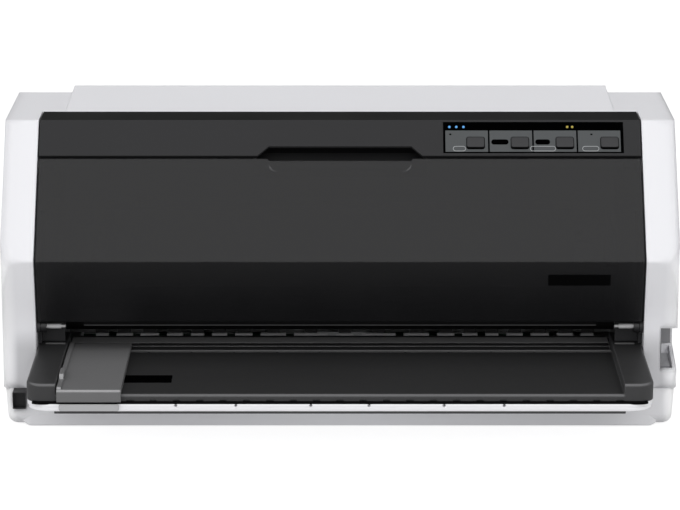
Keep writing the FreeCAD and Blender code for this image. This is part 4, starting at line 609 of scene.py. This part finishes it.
def panel_keys():
    """Four keys of the control panel. Each is a round-cornered cap with a crowned top that leans, its
    height growing by KEY_LEAN for each mm down the slope, so that its top side is nearly flush and
    its lower side stands proud. Below the panel it keeps its collar."""
    low = np.array([[-1.1, -4.1], [-1.1, -3.2], [0.0, -3.1], [0.0, 0.1]])
    levels = np.concatenate([low, domed(1.45, 0.3, edge=0.5, crown=0.10, reach=3.4, steps=6)[1:]])
    corner = np.where(levels[:, 1] < 0.2, 1.2, 2.1)
    corner[4:] = np.minimum(1.5 + 0.4 * levels[4:, 0], 2.4) + levels[4:, 0]
    for node, key in zip(KEY_SHIFTS, KEYS):
        flat = moulded([key], KEY_HALF, corner, levels, 40)
        lean = np.where(flat[..., 2] > 0.2, KEY_LEAN, 0.0)
        flat[..., 2] += lean * (flat[..., 1] - key[1])
        cap = skin(node.replace("_button", "_key"), on_slope(flat), button_satin, node)
        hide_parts(node)


def between(inner, outer, low, top, count=40):
    """Frames as (a, b, out): up the inner outline from low to top, across, and down the outer one.
    Each outline is (centres, halves, corner), one copy for each centre."""
    rings = []
    for (centres, halves, corner), levels in ((inner, (low, top)), (outer, (top, low))):
        centres = np.asarray(centres, dtype=float)
        halves = np.broadcast_to(np.asarray(halves, dtype=float), centres.shape)
        flat = rounded_outline(halves[:, 0], halves[:, 1], np.full(len(centres), corner), count)
        flat = flat + centres[:, None, :]
        rings += [np.concatenate([flat, np.full(flat.shape[:2] + (1,), level)], axis=-1)
                  for level in levels]
    return np.stack(rings, axis=1)


def key_surrounds():
    """Round each key, a grey frame that closes the tile's opening to the key's own outline, and a
    black gap that is widest under the key, where its black is also a painted shadow, its outer outline
    being the inner one moved down."""
    half = np.array(KEY_HALF)
    frames = between((KEYS, half + 0.15, 1.6), (OPENINGS, OPENING_HALF, 1.3), -0.1, 0.41)
    skin("key_frames", on_slope(frames), tile_satin, ROOT, looped=True)
    lower = np.array(KEYS) + np.array([0.0, 0.42])
    # Black gap round the key, widened below it as a painted shadow.
    gaps = between((KEYS, half + 0.08, 1.6), (lower, half + np.array([0.36, 0.52]), 1.9), 0.1, 0.47)
    skin("key_gaps_and_shadows", on_slope(gaps), panel_matt, ROOT, looped=True)


def panel_fields():
    """Bare printed fields of the panel: black pills beside two keys, two small dark windows, and pale
    outlines, each a loop of a small rectangle carried round a pill's outline."""
    black = moulded([(114.3, 17.4), (144.9, 17.4), (78.9, 11.4), (179.9, 11.4)],
                    [(6.15, 2.0), (5.3, 2.0), (0.8, 0.6), (0.8, 0.6)], 2.0,
                    [(0, 0.2), (0, 0.42), (0.06, 0.45)], 32)
    skin("panel_dark_fields", on_slope(black), panel_matt, ROOT)
    lines = moulded([(85.3, 22.6), (145.0, 22.6), (179.1, 22.6)], [(4.6, 2.0), (9.2, 2.0), (6.0, 2.0)],
                    2.0, [(0, 0.3), (0, 0.42), (0.38, 0.42), (0.38, 0.3)], 40)
    skin("panel_outlines", on_slope(lines), print_pale, ROOT, looped=True)


def grip_rims():
    """Two glossy crescents where the cover is scooped out for the fingers, a little lighter than the
    cover as a painted highlight. The path is a quarter of an ellipse and the half width goes as the
    sine of the way along it."""
    u = np.linspace(0.0, 1.0, 17)
    bend = u * TURN / 4
    x = 50.6 - 6.2 * (1 - np.cos(bend))
    down = 34.6 + 5.9 * np.sin(bend)
    half = 0.06 + 0.62 * np.sin(np.pi * u) ** 0.8
    t = np.arange(12) / 12 * TURN
    ring_x = x[:, None] + half[:, None] * np.cos(t)
    ring_down = down[:, None] + 0.35 * half[:, None] * np.cos(t)
    ring_out = 0.02 + 0.42 * half[:, None] * np.sin(t)
    right = np.stack([ring_x, ring_down, ring_out], axis=-1)
    left = right * np.array([-1.0, 1.0, 1.0])
    skin("grip_rim_right", on_slope(right[None]), rim_gloss, "front_cover")
    skin("grip_rim_left", on_slope(left[None]), rim_gloss, "front_cover")


def base_recess_painted_shade():
    """Painted shade in the recess at the left of the base, a dark tub: outer wall, rim, inner wall, and
    two backs.
    """
    rings = np.array([[0.0, -95.5], [0.0, -107.5], [0.6, -107.5], [0.6, -102.0]])
    half_x, half_z, mid_x, mid_z = 4.7, 6.1, -227.75, 18.7
    outline = rounded_outline(half_x - rings[:, 0], half_z - rings[:, 0], np.full(4, 0.4), 24)
    grid = np.stack([outline[..., 0] + mid_x, np.broadcast_to(rings[:, 1:], outline.shape[:2]),
                     outline[..., 1] + mid_z], axis=-1)
    skin("base_recess_painted_shade", grid[None], painted_shade_black, ROOT)


def switch_recess_painted_shade():
    """Painted shade in the power switch recess, a thin grey strip whose plan turns a round corner from
    the back wall to the inner wall, and whose lower edge follows the recess's sloping rim."""
    inner_x = span("power_switch")[0][0]
    back_y, front_y, outer_x, top_z = -57.4, -92.0, inner_x + 10.2, 67.6
    corner, thick = 1.8, 0.4
    turn = np.linspace(0, TURN / 4, 7)

    def plan(inset):
        r = corner - inset
        bend = np.stack([inner_x + corner - r * np.sin(turn), back_y - corner + r * np.cos(turn)], axis=-1)
        return np.concatenate([[[outer_x, back_y - inset]], bend, [[inner_x + inset, front_y]]])

    ring = np.concatenate([plan(0.0), plan(thick)[::-1]])
    low = 47.0 + (ring[:, 1] + 57.0) * RECESS_SLOPE + thick
    grid = np.stack([np.column_stack([ring, low]), np.column_stack([ring, np.full(len(ring), top_z)])])
    skin("switch_recess_painted_shade", grid[None], recess_painted_shade, ROOT)


def hinge_step_rims():
    """Round-edged ribs across the tray's side blocks, in front of the cover's hinges, lighter than the
    blocks as a painted highlight.
    """
    ribs = moulded([(-203.6, -80.6), (203.6, -80.6)], (7.4, 1.4), 1.2,
                   domed(1.0, -0.2, edge=0.8, reach=0.15), 24)
    skin("hinge_step_rims", lying(ribs, BLOCK_TOP_Z), step_painted_highlight, ROOT)


def tray_plate():
    """Bare dark plate let into the tray's floor."""
    plate = moulded([(-134.5, -143.9)], (17.5, 8.9), 0.6, [(0, -0.3), (0, 0.06), (0.08, 0.12)], 24)
    skin("tray_plate", lying(plate, FLOOR_Z), panel_matt, ROOT)


def lip_painted_shadow():
    """Painted shadow under the front edge of the tray's white shell, a thin dark strip."""
    rail = moulded([(0.0, SHELL_FRONT_Y + 1.6)], (196.0, 0.8), 0.7,
                   [(0, SHELL_LOW_Z - 2.5), (0, SHELL_LOW_Z - 0.5)], 16)
    skin("lip_painted_shadow", rail, lip_shadow, ROOT)


def along_front(section, front_y, corner, least):
    """A section of points (out, z) carried along the tray's front and round its corners: on a corner
    the path is the corner's centre plus (corner + out) (cos a, sin a), for a down to least degrees
    from the side."""
    right = np.radians(np.linspace(least, -90.0, 11))
    bend = np.concatenate([np.pi - right, right[::-1]])
    centre_x = TRAY_HALF - corner
    centres = np.repeat([-centre_x, centre_x], len(right))
    out, level = np.array(section).T
    reach = corner + out
    return np.stack([centres[:, None] + reach * np.cos(bend)[:, None],
                     front_y + corner + reach * np.sin(bend)[:, None],
                     np.broadcast_to(level, (len(bend), len(section)))], axis=-1)[None]


def tray_seam():
    """The dark seam between the tray and its shell, its black also a painted shadow under the tray,
    and the shell's full lower bead.
    """
    low, top, back = SEAM_Z - 1.3, SEAM_Z + 0.7, -0.5
    seam = [(back, low), (1.75, low), (1.75, SEAM_Z - 0.1), (1.2, top), (back, top)]
    strip = along_front(seam, TRAY_FRONT_Y, 11.0, -58.0)
    skin("tray_seam", strip, seam_and_shadow_black, ROOT)
    t, radius, back, top = np.linspace(0.0, TURN / 4, 6), 0.75, -1.6, SHELL_LOW_Z + 2.1
    edge = np.stack([0.05 - radius + radius * np.cos(t), SHELL_LOW_Z - radius * np.sin(t)], axis=-1)
    bead = np.concatenate([[[0.05, top]], edge, [[back, SHELL_LOW_Z - radius], [back, top]]])
    strip = along_front(bead, SHELL_FRONT_Y, 17.0, -25.0)
    skin("shell_bead", strip, tray_white, ROOT)


def feed_mouth():
    """What shows behind the tray: painted shade, in black, on the floors of the sill's two grooves and
    on a strip in front of the feed rollers, a dark cap on the sill's rib, and the tray's back rim in
    short lengths, lighter as a painted highlight."""
    half = SILL_HALF - 0.7
    floors = moulded([(0.0, -66.75), (0.0, -56.0), (0.0, -36.1)],
                     [(half, 4.6), (half, 2.85), (half, 2.4)], 0.3, [(0, -0.75), (0, -0.1)], 12)
    skin("sill_shadows", lying(floors, FLOOR_Z), painted_shade_black, ROOT)
    rib = moulded([(0.0, -60.5)], (half, 1.45), 0.4, [(0, -0.2), (0, 0.04), (0.1, 0.1)], 12)
    skin("sill_rib", lying(rib, FLOOR_Z), sill_rib, ROOT)
    count, first, pitch, rim_y = 13, -183.2, 30.7, span("front_lower_guide")[0][1] - 1.5
    middles = np.stack([first + np.arange(count) * pitch, np.full(count, rim_y)], axis=-1)
    lengths = moulded(middles, (14.9, 1.25), 0.5, [(0, -0.3), (0, 0.08), (0.15, 0.16)], 16)
    skin("tray_back_rims", lying(lengths, FLOOR_Z), rim_painted_highlight, ROOT)


def guide_painted_shadow():
    """Painted shadow of the edge guide on the tray's lip, a thin grey round-cornered tab in front of
    the lip.
    """
    tab = moulded([(middle("edge_guide")[0], SHELL_LOW_Z + 2.3)], (20.6, 2.5), 1.6,
                  [(0.4, -0.55), (0, -0.2), (0, 0.3), (0.4, 0.6)], 24)
    grid = np.stack([tab[..., 0], SHELL_FRONT_Y - 1.0 - tab[..., 2], tab[..., 1]], axis=-1)
    skin("guide_painted_shadow", grid, guide_shadow_grey, "edge_guide")


def base_sill():
    """The base's full lower front edge. Its section (y, z) follows the leaning front down to the
    bottom, and towards both ends it shrinks into the base by the share sin of the way in."""
    end, taper, least = 229.0, 10.0, 0.04
    right = np.linspace(end - taper, end, 9)
    x = np.concatenate([-right[::-1], right])
    share = least + (1 - least) * np.sin(np.clip((end - np.abs(x)) / taper, 0, 1) * TURN / 4)
    section = np.array([[-106.25, 9.2], [-109.9, 1.45], [-109.5, 0.95], [-103.5, 0.95], [-102.5, 9.2]])
    inside = np.array([-103.0, 6.0])
    ring = inside + share[:, None, None] * (section - inside)
    grid = np.concatenate([np.broadcast_to(x[:, None, None], ring.shape[:2] + (1,)), ring], axis=-1)
    skin("base_sill", grid[None], base_grey, ROOT, sharp=24.0)


def cover_hem():
    """The cover's lower hem, a thin strip with a round lower edge under the pane's front edge, and the
    fine bead along it, a turned bar whose lighter colour is a painted highlight."""
    pane_z = span("cover_window")[0][2]
    half, mid_y, thick, top = 182.0, -91.4, 0.6, pane_z + 0.9
    t = np.linspace(0.0, TURN / 2, 9)
    low = np.stack([mid_y - thick * np.cos(t), pane_z - 2.7 - thick * np.sin(t)], axis=-1)
    ring = np.concatenate([low, [[mid_y + thick, top], [mid_y - thick, top]]])
    grid = np.stack([np.column_stack([np.full(len(ring), x), ring]) for x in (-half, half)])
    skin("cover_hem", grid[None], hem_black, "front_cover")
    bar = turned([(-half, mid_y - thick, pane_z - 2.5)],
                 [(0.3, 0.0), (0.42, 0.3), (0.42, 2 * half - 0.3), (0.3, 2 * half)], "x", 16)
    skin("cover_bead", bar, bead_painted_highlight, "front_cover")


def rocker_marks():
    """A bar and a ring on the two halves of the power rocker. A point (x, v, out) sits on the rocker's
    dished top, crown - dish (1 - |v| / reach) above its origin, and is turned with the rocker about
    an axis that lies dish below, and then with the sloping floor under it."""
    mid_x, mid_y, mid_z = middle("power_rocker")[0], -75.0, 38.0
    crown, dish, reach = 1.6, 1.25, 10.0
    tilt, slope = math.radians(-7.0), math.atan(RECESS_SLOPE)

    def on_rocker(flat):
        x, v, out = flat[..., 0], flat[..., 1], flat[..., 2]
        up = crown - dish * (1 - np.abs(v) / reach) + out + dish
        y = v * math.cos(tilt) - up * math.sin(tilt)
        z = v * math.sin(tilt) + up * math.cos(tilt) - dish
        return np.stack([mid_x + x, mid_y + y * math.cos(slope) - z * math.sin(slope),
                         mid_z + y * math.sin(slope) + z * math.cos(slope)], axis=-1)

    bar = moulded([(0.0, 5.4)], (0.32, 1.5), 0.3, [(0, -0.1), (0, 0.1)], 16)
    ring = moulded([(0.0, -5.4)], (1.35, 1.5), 1.35, [(0, -0.1), (0, 0.1), (0.5, 0.1), (0.5, -0.1)], 28)
    skin("rocker_bar", on_rocker(bar), print_pale, "power_rocker")
    skin("rocker_ring", on_rocker(ring), print_pale, "power_rocker", looped=True)


def socket_details():
    """Metal linings, contacts and pins of the sockets at the back. A lining is a small rectangle
    carried round the socket's outline; contacts are rows of low bars, and pins are turned."""
    (left, _, low), (right, _, _) = span("interface_ports")
    parallel, serial, square = (left + 27.5, low + 7.5), (right - 44.5, low + 6.25), (right - 6, low + 5.5)
    walls = [(0, -7.9), (0, -0.5), (0.5, -0.5), (0.5, -7.9)]
    for name, mid, half, corner in (("parallel_lining", parallel, (25.9, 5.9), 2.6),
                                    ("serial_lining", serial, (13.9, 4.65), 2.2),
                                    ("square_lining", square, (4.4, 3.9), 0.8)):
        lining = moulded([mid], half, corner, walls, 40)
        skin(name, behind(lining, BACK_Y), socket_steel, ROOT, looped=True)
    count, pitch = 18, 2.4
    across = parallel[0] + (np.arange(count) - (count - 1) / 2) * pitch
    rows = np.concatenate([np.stack([across, np.full(count, parallel[1] + rise)], axis=-1)
                           for rise in (-0.82, 0.82)])
    bars = moulded(rows, (0.55, 0.12), 0.1, [(0, -7.5), (0, -2.2), (0.1, -2.0)], 8)
    skin("parallel_contacts", behind(bars, BACK_Y), contact_gold, ROOT)
    k, pitch, root_y = np.arange(9), 2.77, BACK_Y - 8.0
    upper = k < 5
    across = np.where(upper, (k - 2) * pitch, (k - 6.5) * pitch) + serial[0]
    level = np.where(upper, 1.55, -1.55) + serial[1]
    pins = turned(np.stack([across, np.full(len(k), root_y), level], axis=-1),
                  [(0.5, 0.0), (0.5, 5.2), (0.4, 5.7), (0.15, 6.0)], "y", 12)
    skin("serial_pins", pins, contact_gold, ROOT)


def cartridge_details():
    """Ribs and a bare raised panel on the ribbon cartridge, all round-cornered."""
    count, first, pitch = 9, 60.0, 9.0
    middles = np.stack([first + np.arange(count) * pitch, np.full(count, RIBBON_Y)], axis=-1)
    ribs = moulded(middles, (1.1, 8.6), 1.0, domed(1.0, -0.2, edge=0.5, reach=0.4), 20)
    skin("cartridge_ribs", lying(ribs, RIBBON_TOP_Z), cartridge_satin, ROOT)
    panel = moulded([(-20.0, RIBBON_Y)], (58.0, 8.6), 2.0, domed(0.6, -0.2, edge=0.4, reach=0.6), 32)
    skin("cartridge_panel", lying(panel, RIBBON_TOP_Z), label_matt, ROOT)


def knob_cap():
    """The ribbon's winding knob: a turned, fluted grip with a dished top."""
    profile = [(2.5, -10.0), (2.5, 0.4), (8.0, 0.4), (8.0, 4.6), (7.6, 5.4), (6.6, 5.9), (5.2, 5.6),
               (3.0, 5.2), (0.2, 5.1)]
    knob = turned([(KNOB_X, RIBBON_Y, RIBBON_TOP_Z)], profile, "z", 120, flutes=12, depth=1.3)
    piece = skin("ribbon_winder", knob, knob_satin, "ribbon_knob")
    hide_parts("ribbon_knob")


panel_keys()
key_surrounds()
panel_fields()
grip_rims()
base_recess_painted_shade()
switch_recess_painted_shade()
hinge_step_rims()
tray_plate()
lip_painted_shadow()
tray_seam()
feed_mouth()
guide_painted_shadow()
base_sill()
cover_hem()
rocker_marks()
socket_details()
cartridge_details()
knob_cap()


# The stage

def shown_level(tree, lights, mirrored, seen):
    """A strength that is one value where it lights things, one in reflections and behind glass, and
    one where the camera looks at it."""
    path = put(tree, "ShaderNodeLightPath").outputs
    reflected = put(tree, "ShaderNodeMath", {0: path["Is Glossy Ray"], 1: path["Is Transmission Ray"]},
                    operation="MAXIMUM").outputs[0]
    unseen = ramp(tree, reflected, 0.0, 1.0, lights, mirrored)
    return put(tree, "ShaderNodeMix", {"Factor": path["Is Camera Ray"], "A": unseen,
                                       "B": seen}).outputs["Result"]


def sun(name, strength, azimuth, elevation, spread):
    """A lamp far away, its azimuth to the right of straight in front. The angles are in degrees."""
    lamp = bpy.data.lights.new(name, "SUN")
    lamp.energy = strength
    lamp.angle = math.radians(spread)
    holder = bpy.data.objects.new(name, lamp)
    across, up = math.radians(azimuth), math.radians(elevation)
    towards = Vector((math.sin(across) * math.cos(up), -math.cos(across) * math.cos(up), math.sin(up)))
    holder.rotation_euler = towards.to_track_quat("Z", "Y").to_euler()
    holder.location = towards * 3.0
    bpy.context.scene.collection.objects.link(holder)


def studio():
    """A pale floor, a white surround, one broad key in front and above, and one soft fill at each
    side."""
    scene = bpy.context.scene
    scene.view_settings.view_transform = "Standard"

    world = bpy.data.worlds.new("studio")
    world.use_nodes = True
    scene.world = world
    tree = world.node_tree
    sky = tree.nodes["Background"]
    sky.inputs["Color"].default_value = (1.0, 1.0, 1.0, 1.0)
    tree.links.new(shown_level(tree, 0.18, 0.50, 1.0), sky.inputs["Strength"])

    half = 7.0
    ground = bpy.data.meshes.new("floor")
    ground.from_pydata([(-half, -half, 0), (half, -half, 0), (half, half, 0), (-half, half, 0)], [],
                       [(0, 1, 2, 3)])
    floor = bpy.data.objects.new("floor", ground)
    scene.collection.objects.link(floor)
    made, tree, shader = start_material("pale_floor")
    shader.inputs["Base Color"].default_value = (0.42, 0.42, 0.42, 1.0)
    shader.inputs["Roughness"].default_value = 0.9
    shader.inputs["Specular IOR Level"].default_value = 0.0
    shader.inputs["Emission Color"].default_value = (1.0, 1.0, 1.0, 1.0)
    tree.links.new(shown_level(tree, 0.27, 0.10, 0.80), shader.inputs["Emission Strength"])
    ground.materials.append(made)

    sun("key", 2.43, -6.0, 52.0, 110.0)
    sun("left_fill", 1.00, -88.0, 2.0, 46.0)
    sun("right_fill", 1.00, 88.0, 2.0, 46.0)


def photograph_camera():
    """The photograph's view: from straight in front, 14.5 degrees above level. Lengths are in m, the
    lens and its sensor in mm."""
    target, distance = Vector((0.0, -0.090, 0.121)), 2.2
    rise = math.radians(14.5)
    away = Vector((0.0, -math.cos(rise), math.sin(rise)))
    lens = bpy.data.cameras.new("photograph")
    lens.lens = 164.7
    lens.sensor_width = 36.0
    lens.clip_end = 60.0
    holder = bpy.data.objects.new("photograph", lens)
    holder.location = target + away * distance
    holder.rotation_euler = away.to_track_quat("Z", "Y").to_euler()
    bpy.context.scene.collection.objects.link(holder)
    bpy.context.scene.camera = holder


studio()
photograph_camera()
